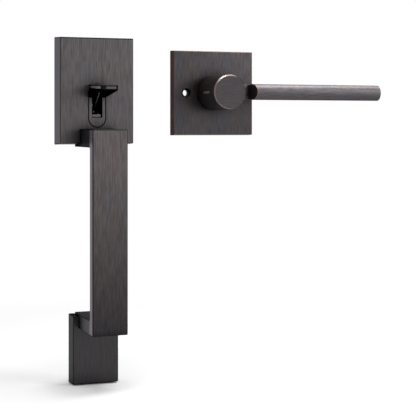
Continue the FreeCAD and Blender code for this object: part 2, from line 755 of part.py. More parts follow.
def make_spindle():
    """Square bar that the crank turns and the latch rides on, chamfered at its free end."""
    body = new_body("exterior_spindle")
    start = "crank_back - spindle_depth_in_crank"
    section = new_sketch(body, "XZ_Plane", "-(%s)" % start)
    rectangle(section, "-spindle_side / 2", "-spindle_side / 2", "spindle_side / 2", "spindle_side / 2")
    pad(body, section, "spindle_reach - (%s)" % start, backward=True)
    round_edges(body, lambda edge: at_depth(edge, -number("spindle_reach")), "spindle_chamfer",
                kind="PartDesign::Chamfer")
    return body


def make_grip():
    """One casting: a flat bar with a post at each end, stepped where each post passes its cover's edge."""
    body = new_body("grip_handle")
    side = new_sketch(body, "YZ_Plane")
    outline(side, [("0", "upper_post_bottom"), ("0", "plate_bottom - sliding_gap"),
                   ("-plate_thickness", "plate_bottom - sliding_gap"), ("-plate_thickness", "grip_top"),
                   ("-grip_front", "grip_top"), ("-grip_front", "grip_bottom"),
                   ("-plate_thickness", "grip_bottom"), ("-plate_thickness", "foot_plate_top + sliding_gap"),
                   ("0", "foot_plate_top + sliding_gap"), ("0", "lower_post_top"),
                   ("-grip_back", "lower_post_top"), ("-grip_back", "upper_post_bottom")])
    pad(body, side, "grip_width", both_ways=True)
    inner = number("grip_back")
    outer = number("grip_front")
    half = number("grip_width") / 2
    round_edges(body, lambda edge: runs_along(edge, 0) and at_depth(edge, inner), "grip_inner_radius")

    def front_edge(edge):
        low, high = edge_span(edge)
        return at_depth(edge, outer) or (runs_along(edge, 1) and high[1] - low[1] > inner * 0.8
                                         and (abs(high[2] - number("grip_top")) < 0.01
                                              or abs(high[2] - number("grip_bottom")) < 0.01)
                                         and abs(high[0]) > half - 0.01)

    round_edges(body, front_edge, "grip_edge")
    for z, radius in (("upper_screw_z", "grip_screw_radius"), ("lower_screw_z", "small_screw_radius")):
        threads = new_sketch(body, "XZ_Plane", "plate_thickness")
        circle(threads, "-grip_screw_spacing / 2", z, "%s + thread_gap" % radius)
        circle(threads, "grip_screw_spacing / 2", z, "%s + thread_gap" % radius)
        pocket(body, threads, "grip_screw_length", backward=True)
    return body


def make_foot_cover():
    """Hollow cast foot plate with a notch for the lower post and two bosses."""
    body = new_body("foot_cover")
    drafted_cover(body, "foot_width", "foot_top", "foot_bottom", "foot_depth", "foot_wall", "cover_draft",
                  "cover_edge")
    places = [(x, "foot_boss_z") for x in ("-foot_boss_spacing / 2", "foot_boss_spacing / 2")]
    bosses = new_sketch(body, "XZ_Plane", "plate_thickness")
    threads = new_sketch(body, "XZ_Plane", "plate_thickness")
    for across, up in places:
        circle(bosses, across, up, "foot_boss_radius")
        circle(threads, across, up, "small_screw_radius + thread_gap")
    pad(body, bosses, "foot_inner_depth - plate_thickness + foot_wall / 2")
    pocket(body, threads, "foot_inner_depth - plate_thickness", backward=True)
    notch = new_sketch(body, "XZ_Plane")
    rectangle(notch, "-grip_width / 2 - sliding_gap", "grip_bottom - sliding_gap", "grip_width / 2 + sliding_gap",
              "foot_top + 1")
    pocket(body, notch, "foot_depth + 1", backward=True)
    return body


def make_foot_plate():
    """Steel plate behind the foot cover that the lower post is screwed to."""
    body = new_body("foot_mounting_plate")
    mounting_plate(body, "foot_plate_width", "foot_plate_top", "foot_plate_top - foot_plate_height",
                   "plate_thickness")
    hole = new_sketch(body, "XZ_Plane")
    circle(hole, "0", "foot_centre", "post_neck_radius")
    pocket(body, hole, "plate_thickness", backward=True)
    cover_places = [(x, "foot_boss_z") for x in ("-foot_boss_spacing / 2", "foot_boss_spacing / 2")]
    countersunk_holes(body, cover_places, "small_screw_radius", "small_screw_head")
    grip_places = [(x, "lower_screw_z") for x in ("-grip_screw_spacing / 2", "grip_screw_spacing / 2")]
    countersunk_holes(body, grip_places, "small_screw_radius", "small_screw_head")
    return body


def interior_body(label):
    """A body placed on the interior side's own bore axis."""
    return new_body(label, "interior_offset", "-interior_drop")


def make_rose():
    """Hollow square rose with a round opening and two countersunk holes, each in a raised pad clear of the cage."""
    body = interior_body("interior_rose")
    drafted_cover(body, "rose_side", "rose_side / 2", "-rose_side / 2", "rose_depth", "rose_wall", "rose_draft",
                  "rose_edge")
    bosses = new_sketch(body, "XZ_Plane", "cage_front + sliding_gap")
    holes = new_sketch(body, "XZ_Plane")
    for x in ("-bolt_spacing / 2", "bolt_spacing / 2"):
        circle(bosses, x, "0", "screw_boss_radius")
        circle(holes, x, "0", "screw_hole_radius")
    circle(holes, "0", "0", "bushing_radius")
    pad(body, bosses, "rose_depth - rose_wall / 2 - cage_front - sliding_gap")
    pocket(body, holes, "rose_depth + 1", backward=True)
    front = number("rose_depth")
    wide = number("screw_hole_radius")

    def sink_rim(edge):
        return (at_depth(edge, front) and abs(edge.BoundBox.XLength - 2 * wide) < 0.05
                and abs(edge.BoundBox.ZLength - 2 * wide) < 0.05)

    round_edges(body, sink_rim, "screw_sink_radius - screw_hole_radius", kind="PartDesign::Chamfer")
    return body


def make_rose_plate():
    """Steel plate behind the rose with the driver's bearing hole and the two bolt holes."""
    body = interior_body("rose_mounting_plate")
    sketch = new_sketch(body, "XZ_Plane")
    rectangle(sketch, "-rose_plate_side / 2", "-rose_plate_side / 2", "rose_plate_side / 2", "rose_plate_side / 2")
    pad(body, sketch, "rose_plate_thickness")
    round_edges(body, lambda edge: runs_along(edge, 1), "plate_corner")
    holes = new_sketch(body, "XZ_Plane")
    circle(holes, "0", "0", "driver_radius + running_fit")
    circle(holes, "-bolt_spacing / 2", "0", "screw_hole_radius")
    circle(holes, "bolt_spacing / 2", "0", "screw_hole_radius")
    pocket(body, holes, "rose_plate_thickness", backward=True)
    return body


def make_spring_cage():
    """Shallow cup on the rose's plate that keeps the lever's spring round its driver."""
    body = interior_body("spring_cage")
    inside = "cage_radius - cage_wall"
    revolve(body, [("driver_radius + 1", "rose_plate_thickness"), ("cage_radius", "rose_plate_thickness"),
                   ("cage_radius", "cage_front"), (inside, "cage_front"),
                   (inside, "rose_plate_thickness + cage_wall / 2"),
                   ("driver_radius + 1", "rose_plate_thickness + cage_wall / 2")])
    return body


def make_lever_spring():
    """Torsion spring in the cage, with a leg that lies on the driver's flange."""
    radius = "cage_radius - cage_wall - sliding_gap - lever_spring_wire"
    turns = coil(radius, "lever_spring_wire", "lever_spring_turns", "2 * lever_spring_wire + 0.2")
    turns.Placement.Rotation = FreeCAD.Rotation(FreeCAD.Vector(1, 0, 0), 90)
    start = "rose_plate_thickness + cage_wall / 2 + lever_spring_wire"
    bind(turns, Placement__Base__y="-(%s)" % start)
    leg = rod("driver_flange_radius + sliding_gap", start, "0", "lever_spring_wire",
              "%s - driver_flange_radius - sliding_gap" % radius, "right")
    return fused("lever_return_spring", [turns, leg], "interior_offset", "-interior_drop")


def make_driver():
    """Tube that the lever sits on: a flange in the cage, a square socket behind and a slot for the catch."""
    body = interior_body("lever_driver")
    flange_back = "rose_plate_thickness + cage_wall / 2 + crank_end_play"
    groove_front = "-crank_end_play / 2"
    groove_back = "-crank_end_play - clip_thickness"
    revolve(body, [("0", "-driver_back"), ("driver_radius", "-driver_back"), ("driver_radius", groove_back),
                   ("driver_radius - clip_groove", groove_back), ("driver_radius - clip_groove", groove_front),
                   ("driver_radius", groove_front), ("driver_radius", flange_back),
                   ("driver_flange_radius", flange_back),
                   ("driver_flange_radius", "%s + driver_flange" % flange_back),
                   ("driver_radius", "%s + driver_flange" % flange_back),
                   ("driver_radius", "driver_front"), ("driver_bore", "driver_front"),
                   ("driver_bore", "socket_length - driver_back"), ("0", "socket_length - driver_back")])
    socket = new_sketch(body, "XZ_Plane", "-driver_back")
    side = "spindle_side / 2 + spindle_fit"
    rectangle(socket, "-(%s)" % side, "-(%s)" % side, side, side)
    pocket(body, socket, "socket_length - socket_web", backward=True)
    slot = new_sketch(body, "XY_Plane")
    rectangle(slot, "-driver_radius - 1", "-catch_depth - catch_length / 2 - catch_gap", "-driver_bore + 1",
              "-catch_depth + catch_length / 2 + catch_gap")
    pocket(body, slot, "catch_width + 2 * catch_gap", both_ways=True)
    return body


def make_bushing():
    """Plain flanged bearing in the rose's opening that the driver turns in."""
    body = interior_body("lever_bushing")
    inside = "driver_radius + running_fit"
    revolve(body, [(inside, "cage_front + sliding_gap"), ("bushing_radius", "cage_front + sliding_gap"),
                   ("bushing_radius", "rose_depth"), ("bushing_flange_radius", "rose_depth"),
                   ("bushing_flange_radius", "rose_depth + bushing_flange"),
                   (inside, "rose_depth + bushing_flange")])
    return body


def make_lever():
    """One casting: a tapered hub with a bevelled face, a neck flush with the face and a straight round bar."""
    body = interior_body("interior_lever")
    bar = new_sketch(body, "YZ_Plane", "bar_start - bar_slant")
    circle(bar, "-bar_depth", "0", "bar_radius")
    pad(body, bar, "lever_length - bar_start + bar_slant")
    tip = number("lever_length")
    round_edges(body, lambda edge: abs(edge.BoundBox.XMin - tip) < 1e-3, "bar_edge")
    scoop = new_sketch(body, "XY_Plane")
    front = "-bar_depth - bar_radius"
    outline(scoop, [("bar_start - bar_slant", "-hub_face_depth + neck_recess"), ("bar_start", front),
                    ("bar_start", "%s - 1" % front), ("bar_start - bar_slant - 1", "%s - 1" % front),
                    ("bar_start - bar_slant - 1", "-hub_face_depth + neck_recess")])
    pocket(body, scoop, "3 * bar_radius", both_ways=True)
    revolve(body, [("driver_radius + thread_gap", "hub_base_depth"), ("hub_base_radius", "hub_base_depth"),
                   ("hub_shoulder_radius", "hub_face_depth - hub_bevel"), ("hub_face_radius", "hub_face_depth"),
                   ("0", "hub_face_depth"), ("0", "hub_bore_end"), ("driver_radius + thread_gap", "hub_bore_end")])
    root = new_sketch(body, "YZ_Plane", "neck_flush")
    rectangle(root, "-hub_face_depth", "-neck_height / 2", "-hub_bore_end", "neck_height / 2")
    pad(body, root, "neck_flush - hub_face_radius / 2", backward=True)
    end = new_sketch(body, "YZ_Plane", "bar_start + neck_overlap")
    rectangle(end, "-hub_face_depth + 2 * neck_recess", "-neck_end_height / 2", "-bar_depth + bar_radius - 1",
              "neck_end_height / 2")
    neck = body.newObject("PartDesign::AdditiveLoft", "Neck")
    neck.Profile = root
    neck.Sections = [end]
    neck.Ruled = True
    doc.recompute()
    slot = new_sketch(body, "XY_Plane")
    rectangle(slot, "-hub_base_radius - 1", "-catch_depth - catch_length / 2 - catch_gap", "-driver_radius + 1",
              "-catch_depth + catch_length / 2 + catch_gap")
    pocket(body, slot, "catch_width + 2 * catch_gap", both_ways=True)
    return body


def make_catch():
    """Brass key in the hub's side slot; pressed in, it lets the lever off its driver."""
    body = interior_body("lever_catch")
    side = new_sketch(body, "XY_Plane")
    outer = "-hub_surface + catch_recess"
    rectangle(side, outer, "-catch_depth - catch_length / 2", "-driver_bore + 0.8",
              "-catch_depth + catch_length / 2")
    pad(body, side, "catch_width", both_ways=True)
    stem = new_sketch(body, "YZ_Plane", "-driver_bore + 0.6")
    circle(stem, "-catch_depth", "0", "catch_spring_radius + catch_spring_wire")
    pad(body, stem, "driver_bore - 0.6 - catch_inner")
    return body


def make_catch_spring():
    """Compression spring between the catch and the far wall of the driver."""
    free = "driver_bore * 0.9 + catch_inner - 2 * catch_spring_wire - 0.1"
    turns = coil("catch_spring_radius", "catch_spring_wire", "catch_spring_turns",
                 "(%s) / catch_spring_turns" % free)
    turns.Placement.Rotation = FreeCAD.Rotation(FreeCAD.Vector(0, 1, 0), 90)
    bind(turns, Placement__Base__x="interior_offset - catch_inner + catch_spring_wire + 0.05",
         Placement__Base__y="-catch_depth", Placement__Base__z="-interior_drop")
    turns.Label = "lever_catch_spring"
    return turns


BOSS_PLACES = [(x, z) for x in ("-boss_x", "boss_x") for z in ("boss_low", "boss_high")]
FOOT_BOSS_PLACES = [(x, "foot_boss_z") for x in ("-foot_boss_spacing / 2", "foot_boss_spacing / 2")]
UPPER_GRIP_PLACES = [(x, "upper_screw_z") for x in ("-grip_screw_spacing / 2", "grip_screw_spacing / 2")]
LOWER_GRIP_PLACES = [(x, "lower_screw_z") for x in ("-grip_screw_spacing / 2", "grip_screw_spacing / 2")]

nodes = [
    make_escutcheon(),
    make_slot_insert(),
    make_thumbpiece(),
    make_pivot_pin(),
    make_thumb_spring(),
    make_mounting_plate(),
    make_threaded_post("mounting_post_left", "-bolt_spacing / 2", "0"),
    make_threaded_post("mounting_post_right", "bolt_spacing / 2", "0"),
    make_crank(),
    make_crank_spring(),
    split_ring("crank_retaining_ring", "crank_radius - clip_groove + running_fit", "clip_radius",
               "clip_thickness", "plate_thickness + clip_thickness + crank_end_play / 2"),
    make_spindle(),
    countersunk_screws("escutcheon_cover_screws", BOSS_PLACES, "small_screw_radius", "small_screw_head",
                       "small_screw_length"),
    make_grip(),
    countersunk_screws("upper_grip_screws", UPPER_GRIP_PLACES, "grip_screw_radius", "grip_screw_head",
                       "grip_screw_length"),
    countersunk_screws("lower_grip_screws", LOWER_GRIP_PLACES, "small_screw_radius", "small_screw_head",
                       "grip_screw_length"),
    make_foot_cover(),
    make_foot_plate(),
    make_threaded_post("foot_mounting_post", "0", "foot_centre"),
    countersunk_screws("foot_cover_screws", FOOT_BOSS_PLACES, "small_screw_radius", "small_screw_head",
                       "small_screw_length"),
    make_rose(),
    make_rose_plate(),
    make_spring_cage(),
    make_lever_spring(),
    make_driver(),
    split_ring("driver_retaining_ring", "driver_radius - clip_groove + running_fit", "driver_radius + clip_rim",
               "clip_thickness", "-crank_end_play * 0.75", "interior_offset", "-interior_drop"),
    make_bushing(),
    make_lever(),
    make_catch(),
    make_catch_spring(),
]
doc.recompute()

for item in doc.Objects:
    if "Invalid" in item.State or "Error" in item.State:
        raise RuntimeError("%s failed: %s" % (item.Label, item.State))
os.makedirs("parts", exist_ok=True)
for node in nodes:
    shape = node.Shape
    if shape.isNull() or not shape.isValid() or not shape.Solids:
        raise RuntimeError("%s has no valid solid" % node.Label)
    shape.exportStep(os.path.join("parts", node.Label + ".step"))
    box = shape.BoundBox
    print("%-26s solids %d  volume %9.1f  x %.1f %.1f  y %.1f %.1f  z %.1f %.1f" % (
        node.Label, len(shape.Solids), shape.Volume, box.XMin, box.XMax, box.YMin, box.YMax, box.ZMin, box.ZMax))
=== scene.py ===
"""Entry door handleset in a plain studio: finishes, detail pieces, light and camera.

Lengths in the classes below are millimetres in the part's own frame: x to the right, z up, and depth from
the door's face towards the viewer, so that a depth of d lies at y = -d. Meshes are written in metres, and
so are the studio's lengths.
"""

import logging
import math
from dataclasses import dataclass
from enum import Enum
from typing import Protocol

import bmesh
import bpy
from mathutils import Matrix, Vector


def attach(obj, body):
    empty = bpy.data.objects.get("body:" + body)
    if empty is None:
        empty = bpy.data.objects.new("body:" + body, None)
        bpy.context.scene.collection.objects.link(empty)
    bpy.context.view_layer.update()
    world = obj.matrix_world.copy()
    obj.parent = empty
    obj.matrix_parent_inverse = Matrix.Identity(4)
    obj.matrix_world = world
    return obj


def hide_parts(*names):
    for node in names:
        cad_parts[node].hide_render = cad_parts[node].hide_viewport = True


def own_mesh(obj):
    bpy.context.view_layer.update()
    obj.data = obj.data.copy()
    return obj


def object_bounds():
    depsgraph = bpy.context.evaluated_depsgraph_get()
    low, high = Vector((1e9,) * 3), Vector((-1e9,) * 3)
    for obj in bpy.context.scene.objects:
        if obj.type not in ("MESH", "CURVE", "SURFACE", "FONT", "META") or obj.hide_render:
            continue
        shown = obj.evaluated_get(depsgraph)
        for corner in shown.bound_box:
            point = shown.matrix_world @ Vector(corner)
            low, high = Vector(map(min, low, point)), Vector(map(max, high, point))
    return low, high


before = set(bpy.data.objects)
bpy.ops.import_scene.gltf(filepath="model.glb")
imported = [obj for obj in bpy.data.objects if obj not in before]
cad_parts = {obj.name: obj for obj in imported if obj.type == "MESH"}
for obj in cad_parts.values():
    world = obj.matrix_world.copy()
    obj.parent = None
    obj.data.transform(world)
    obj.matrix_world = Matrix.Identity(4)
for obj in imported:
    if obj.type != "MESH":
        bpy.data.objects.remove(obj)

Point = tuple[float, float, float]
Colour = tuple[float, float, float]
Socket = bpy.types.NodeSocket

CAD_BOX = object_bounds()
MM = 0.001
QUARTER_TURN = 0.25
FAR = 400.0
SIDEWAYS: Point = (1, 0, 0)
FORTH: Point = (0, 1, 0)
UPWARD: Point = (0, 0, 1)

# near-black for painted shade in gaps, holes, pockets and under the thumbpiece
SHADE_BLACK: Colour = (0.006, 0.0055, 0.0055)
DARK: Colour = (0.02, 0.018, 0.018)
COPPER: Colour = (0.17, 0.105, 0.08)
DULL: Colour = (0.1, 0.1, 0.1)
REDDISH: Colour = (0.3, 0.2, 0.18)
# white low-angle tint for painted highlights
HIGHLIGHT_GLANCE: Colour = (1.0, 1.0, 1.0)

log = logging.getLogger("handleset")


class Grain(Enum):
    """Way that a brushed surface was drawn, in the part's frame."""

    UPRIGHT = (0, 0, 1)
    LEVEL = (1, 0, 0)
    NONE = (0, 0, 0)

    def streaks(self, width: float, length: float) -> Point:
        """Blob size of a noise that is drawn out along the grain, from a streak's width and length."""
        return tuple(length if along else width for along in self.value)


class Bench:
    """A node tree, put together with short calls."""

    def __init__(self, tree: bpy.types.NodeTree) -> None:
        """Take over a node tree and empty it."""
        self.tree = tree
        self.tree.nodes.clear()

    def add(self, kind: str, **settings: object) -> bpy.types.Node:
        """Add a shader node and set its properties.

        Args:
            kind: the node's type without its ShaderNode prefix.
            **settings: properties of the node.

        Returns:
            The new node.
        """
        node = self.tree.nodes.new("ShaderNode" + kind)
        for key, value in settings.items():
            setattr(node, key, value)
        return node

    def feed(self, socket: Socket, value: object) -> None:
        """Link a socket or set a constant on another socket.

        Args:
            socket: the input that takes the value.
            value: an output socket or a constant.
        """
        if isinstance(value, Socket):
            self.tree.links.new(value, socket)
        else:
            socket.default_value = value

    def math(self, action: str, *values: object) -> Socket:
        """One arithmetic step.

        Args:
            action: the Math node's operation.
            *values: its inputs, sockets or numbers.

        Returns:
            The result.
        """
        node = self.add("Math", operation=action)
        for socket, value in zip(node.inputs, values):
            self.feed(socket, value)
        return node.outputs[0]

    def spread(self, value: Socket, low: float, high: float, start: float = 0.0, end: float = 1.0) -> Socket:
        """Map low..high to start..end, held at both ends.

        Args:
            value: the input.
            low: input that gives start.
            high: input that gives end.
            start: result at low.
            end: result at high.

        Returns:
            The mapped value.
        """
        node = self.add("MapRange", clamp=True)
        self.feed(node.inputs["Value"], value)
        for name, number in (("From Min", low), ("From Max", high), ("To Min", start), ("To Max", end)):
            self.feed(node.inputs[name], number)
        return node.outputs[0]

    def parts(self, vector: Socket) -> dict[str, Socket]:
        """Take a vector apart.

        Args:
            vector: the vector.

        Returns:
            Its parts by the letters X, Y and Z.
        """
        node = self.add("SeparateXYZ")
        self.feed(node.inputs[0], vector)
        return {part.name: part for part in node.outputs}

    def blend(self, share: object, first: object, second: object, mode: str = "MIX") -> Socket:
        """Mix two colours.

        Args:
            share: how much of the second colour.
            first: a colour or a colour socket.
            second: a colour or a colour socket.
            mode: the Mix node's blend type.

        Returns:
            The mixed colour.
        """
        node = self.add("Mix", data_type="RGBA", blend_type=mode)
        ends = [item for item in node.inputs if item.type == "RGBA"]
        self.feed(node.inputs[0], share)
        self.feed(ends[0], first)
        self.feed(ends[1], second)
        return [item for item in node.outputs if item.type == "RGBA"][0]

    def dim(self, colour: object, factor: Socket) -> Socket:
        """Multiply a colour by a number.

        Args:
            colour: a colour or a colour socket.
            factor: the number.

        Returns:
            The dimmed colour.
        """
        grey = self.add("CombineColor")
        for socket in grey.inputs:
            self.feed(socket, factor)
        return self.blend(1.0, colour, grey.outputs[0], "MULTIPLY")

    def either(self, share: Socket, first: Socket, second: Socket) -> Socket:
        """Mix two shaders.

        Args:
            share: how much of the second shader.
            first: a shader.
            second: a shader.

        Returns:
            The mixed shader.
        """
        node = self.add("MixShader")
        for socket, value in zip(node.inputs, (share, first, second)):
            self.feed(socket, value)
        return node.outputs[0]

    def showing(self) -> Socket:
        """Mask of the rays that show the background: the camera's own, and those of gloss and glass.

        Returns:
            1 for such a ray, and 0 for the light that falls on the set.
        """
        path = self.add("LightPath")
        direct = self.math("MAXIMUM", path.outputs["Is Camera Ray"], path.outputs["Is Glossy Ray"])
        return self.math("MAXIMUM", direct, path.outputs["Is Transmission Ray"])


class FinishBench(Bench):
    """Node tree of a finish, which ends in a Principled shader."""

    def __init__(self, name: str) -> None:
        """Start the finish's material.

        Args:
            name: the material's name.
        """
        self.material = bpy.data.materials.new(name)
        self.material.use_nodes = True
        super().__init__(self.material.node_tree)
        self.shader = self.add("BsdfPrincipled")
        self.feed(self.add("OutputMaterial").inputs[0], self.shader.outputs[0])
        coordinates = self.add("TexCoord")
        self.place = coordinates.outputs["Object"]
        self.facing = coordinates.outputs["Normal"]

    def look(self, name: str, value: object) -> None:
        """Link or set one of the shader's sockets, by its name."""
        self.feed(self.shader.inputs[name], value)

    def noise(self, size: Point, detail: float = 3.0, rough: float = 0.6) -> Socket:
        """Noise whose blobs have the given size along x, y and z.

        Args:
            size: blob size in millimetres.
            detail: octaves of finer noise.
            rough: strength of the finer octaves.

        Returns:
            The noise value, about 0.3 to 0.7.
        """
        scale = self.add("Mapping", vector_type="POINT")
        self.feed(scale.inputs["Vector"], self.place)
        self.feed(scale.inputs["Scale"], tuple(1.0 / (length * MM) for length in size))
        noise = self.add("TexNoise")
        self.feed(noise.inputs["Vector"], scale.outputs[0])
        for name, number in (("Scale", 1.0), ("Detail", detail), ("Roughness", rough)):
            self.feed(noise.inputs[name], number)
        return noise.outputs["Fac"]

    def swing(self, noise: Socket, start: float = 0.0, end: float = 1.0) -> Socket:
        """Map a noise's usual range to start..end."""
        return self.spread(noise, 0.3, 0.7, start, end)

    def edge(self) -> Socket:
        """Mask of the softened edges of a squared piece.

        Returns:
            0 where the surface faces an axis, and 1 where it turns away.
        """
        start, full = 0.004, 0.07
        sizes = [self.math("ABSOLUTE", part) for part in self.parts(self.facing).values()]
        largest = self.math("MAXIMUM", self.math("MAXIMUM", sizes[0], sizes[1]), sizes[2])
        return self.spread(self.math("SUBTRACT", 1.0, largest), start, full)

    def recess(self, reach: float, darkest: float) -> Socket:
        """Factor of painted shade, which falls where other surfaces stand close and darkens corners as shade
        would.

        Args:
            reach: how far a neighbour counts, in millimetres.
            darkest: the factor in the tightest corner.

        Returns:
            The factor, 1 in the open.
        """
        tight, open_space = 0.45, 0.97
        near = self.add("AmbientOcclusion", samples=8)
        self.feed(near.inputs["Distance"], reach * MM)
        return self.spread(near.outputs["AO"], tight, open_space, darkest, 1.0)

    def bump(self, height: Socket, strength: float, depth: float) -> None:
        """Raise the surface by a height.

        Args:
            height: height between 0 and 1.
            strength: how much of it shows.
            depth: what a height of 1 stands for, in millimetres.
        """
        node = self.add("Bump")
        for name, value in (("Strength", strength), ("Distance", depth * MM), ("Height", height)):
            self.feed(node.inputs[name], value)
        self.look("Normal", node.outputs[0])

    def tangent(self) -> None:
        """Lay the shader's tangent along the part's x axis, turning with the piece."""
        turn = self.add("VectorTransform", vector_type="VECTOR", convert_from="OBJECT", convert_to="WORLD")
        self.feed(turn.inputs[0], (1.0, 0.0, 0.0))
        self.look("Tangent", turn.outputs[0])


class Region(Protocol):
    """A stretch of space that a mask can be made for."""

    def inside(self, bench: FinishBench) -> Socket:
        """Mask of the space, 1 inside and 0 outside."""


@dataclass(frozen=True)
class Slab:
    """The space between two parallel planes.

    Attributes:
        way: the direction across the planes, in the part's frame.
        low: place of the first plane along it.
        high: place of the second plane.
        soft: half of the width over which each border fades.
    """

    way: Point
    low: float
    high: float
    soft: float = 0.05

    def inside(self, bench: FinishBench) -> Socket:
        """Mask of the slab.

        Args:
            bench: the finish's nodes.

        Returns:
            1 between the planes and 0 outside.
        """
        across = bench.add("VectorMath", operation="DOT_PRODUCT")
        bench.feed(across.inputs[0], bench.place)
        bench.feed(across.inputs[1], tuple(part / MM for part in self.way))
        middle, half = (self.low + self.high) / 2, (self.high - self.low) / 2
        off = bench.math("ABSOLUTE", bench.math("SUBTRACT", across.outputs["Value"], middle))
        return bench.spread(off, half - self.soft, half + self.soft, 1.0, 0.0)


@dataclass(frozen=True)
class Obround:
    """The space between an inner and an outer obround, both upright and running from front to back.

    Attributes:
        x: place of the middle line.
        low: height of the lower centre.
        high: height of the upper centre.
        inner: radius of the inner border.
        outer: radius of the outer border.
        soft: half of the width over which each border fades.
    """

    x: float
    low: float
    high: float
    inner: float
    outer: float
    soft: float = 0.05

    def inside(self, bench: FinishBench) -> Socket:
        """Mask of the ring between the two borders.

        Args:
            bench: the finish's nodes.

        Returns:
            1 between the borders and 0 elsewhere.
        """
        place = bench.parts(bench.place)
        middle, half = (self.low + self.high) / 2 * MM, (self.high - self.low) / 2 * MM
        aside = bench.math("SUBTRACT", place["X"], self.x * MM)
        off_middle = bench.math("ABSOLUTE", bench.math("SUBTRACT", place["Z"], middle))
        above = bench.math("MAXIMUM", bench.math("SUBTRACT", off_middle, half), 0.0)
        squares = [bench.math("POWER", side, 2.0) for side in (aside, above)]
        reach = bench.math("SQRT", bench.math("ADD", *squares))
        ring, width = (self.inner + self.outer) / 2 * MM, (self.outer - self.inner) / 2 * MM
        off = bench.math("ABSOLUTE", bench.math("SUBTRACT", reach, ring))
        return bench.spread(off, width - self.soft * MM, width + self.soft * MM, 1.0, 0.0)


@dataclass(frozen=True)
class Zone:
    """A stretch of a piece whose finish differs from the rest; worn copper edges, painted highlights and
    painted shade are all zones.

    Attributes:
        regions: the regions that hold it; it lies where they all meet.
        colour: the colour there, or the factor on the colour where it tints.
        share: how much of that colour shows.
        glance: tint of the surface there seen at a low angle.
        tints: whether the colour multiplies the finish instead of covering it.
    """

    regions: tuple[Region, ...]
    colour: Colour
    share: float = 1.0
    glance: Colour = (0.05, 0.05, 0.05)
    tints: bool = False

    def mask(self, bench: FinishBench) -> Socket:
        """Mask of the zone in a finish.

        Args:
            bench: the finish's nodes.

        Returns:
            Its share inside the zone and 0 outside.
        """
        inside: object = self.share
        for region in self.regions:
            inside = bench.math("MULTIPLY", inside, region.inside(bench))
        return inside


class Finish(Protocol):
    """A finish that can be built as a material.

    Attributes:
        name: the material's name.
    """

    name: str

    def material(self) -> bpy.types.Material:
        """Build the finish."""


@dataclass(frozen=True)
class BrushedBronze:
    """Oil-rubbed bronze on a casting: dark, brushed one way, browner in streaks and changed at its edges.

    Attributes:
        name: the material's name.
        grain: the way it was brushed.
        cool: colour of the grey streaks.
        warm: colour of the brown streaks.
        rim: colour along the edges.
        rim_share: how much of the rim's colour shows.
        rim_glance: tint of the edges seen at a low angle.
        roughness: middle roughness.
        stretch: anisotropy of the gloss.
        glance: tint of the surface seen at a low angle.
        contrast: how far the streaks part from the middle tone.
        relief: how much of the brushing shows as relief.
        corner_shade: factor of painted shade on the colour in the tightest corners.
        corner_shade_reach: how far a neighbouring surface casts painted shade.
        zones: stretches with another colour, among them painted highlights and painted shade.
        rim_zones: stretches whose edges have another colour.
    """

    name: str
    grain: Grain = Grain.UPRIGHT
    cool: Colour = (0.098, 0.096, 0.107)
    warm: Colour = (0.122, 0.100, 0.095)
    rim: Colour = (0.012, 0.010, 0.010)
    rim_share: float = 0.85
    rim_glance: Colour = (0.15, 0.12, 0.12)
    roughness: float = 0.33
    stretch: float = 0.6
    glance: Colour = (0.80, 0.82, 0.88)
    contrast: float = 0.22
    relief: float = 0.22
    corner_shade: float = 0.45
    corner_shade_reach: float = 11.0
    zones: tuple[Zone, ...] = ()
    rim_zones: tuple[Zone, ...] = ()

    def material(self) -> bpy.types.Material:
        """Build the finish.

        Returns:
            The material.
        """
        bench = FinishBench(self.name)
        fine = bench.noise(self.grain.streaks(width=0.6, length=9.0), detail=2.0, rough=0.5)
        toned, glance = self.with_rim(bench, self.streaked(bench, fine))
        for zone in self.zones:
            mask = zone.mask(bench)
            toned = bench.blend(mask, toned, (*zone.colour, 1.0), "MULTIPLY" if zone.tints else "MIX")
            if not zone.tints:
                glance = bench.blend(mask, glance, (*zone.glance, 1.0))
        # painted shade: ambient occlusion darkens the colour and the low-angle tint in corners
        corner = bench.recess(self.corner_shade_reach, self.corner_shade)
        bench.look("Base Color", bench.dim(toned, corner))
        bench.look("Specular Tint", bench.dim(glance, corner))
        bench.look("Roughness", bench.swing(fine, self.roughness - 0.05, self.roughness + 0.07))
        bench.look("Metallic", 1.0)
        bench.look("Anisotropic", self.stretch)
        bench.look("Anisotropic Rotation", QUARTER_TURN if self.grain is Grain.LEVEL else 0.0)
        bench.tangent()
        bench.bump(fine, self.relief, depth=0.02)
        return bench.material

    def streaked(self, bench: FinishBench, fine: Socket) -> Socket:
        """Colour of the brushed face.

        Args:
            bench: the finish's nodes.
            fine: noise of the finest streaks.

        Returns:
            Grey and brown streaks, lighter and darker line by line.
        """
        wide_share, cloud_share = 0.75, 0.25
        wide = bench.noise(self.grain.streaks(width=1.5, length=20.0))
        cloud = bench.noise((26.0, 26.0, 34.0), detail=2.0, rough=0.5)
        mixed = bench.math("ADD", bench.math("MULTIPLY", wide, wide_share),
                           bench.math("MULTIPLY", cloud, cloud_share))
        streak = bench.blend(bench.spread(mixed, 0.40, 0.60), (*self.cool, 1.0), (*self.warm, 1.0))
        return bench.dim(streak, bench.swing(fine, 1.0 - self.contrast, 1.0 + self.contrast))

    def with_rim(self, bench: FinishBench, face: Socket) -> tuple[Socket, Socket]:
        """Add the edges to the face's colour.

        Args:
            bench: the finish's nodes.
            face: colour of the face.

        Returns:
            The colour with its edges, and the tint at a low angle.
        """
        rim: object = (*self.rim, 1.0)
        for zone in self.rim_zones:
            rim = bench.blend(zone.mask(bench), rim, (*zone.colour, 1.0))
        edge = bench.math("MULTIPLY", bench.edge(), self.rim_share)
        glance = bench.blend(edge, (*self.glance, 1.0), (*self.rim_glance, 1.0))
        return bench.blend(edge, face, rim), glance


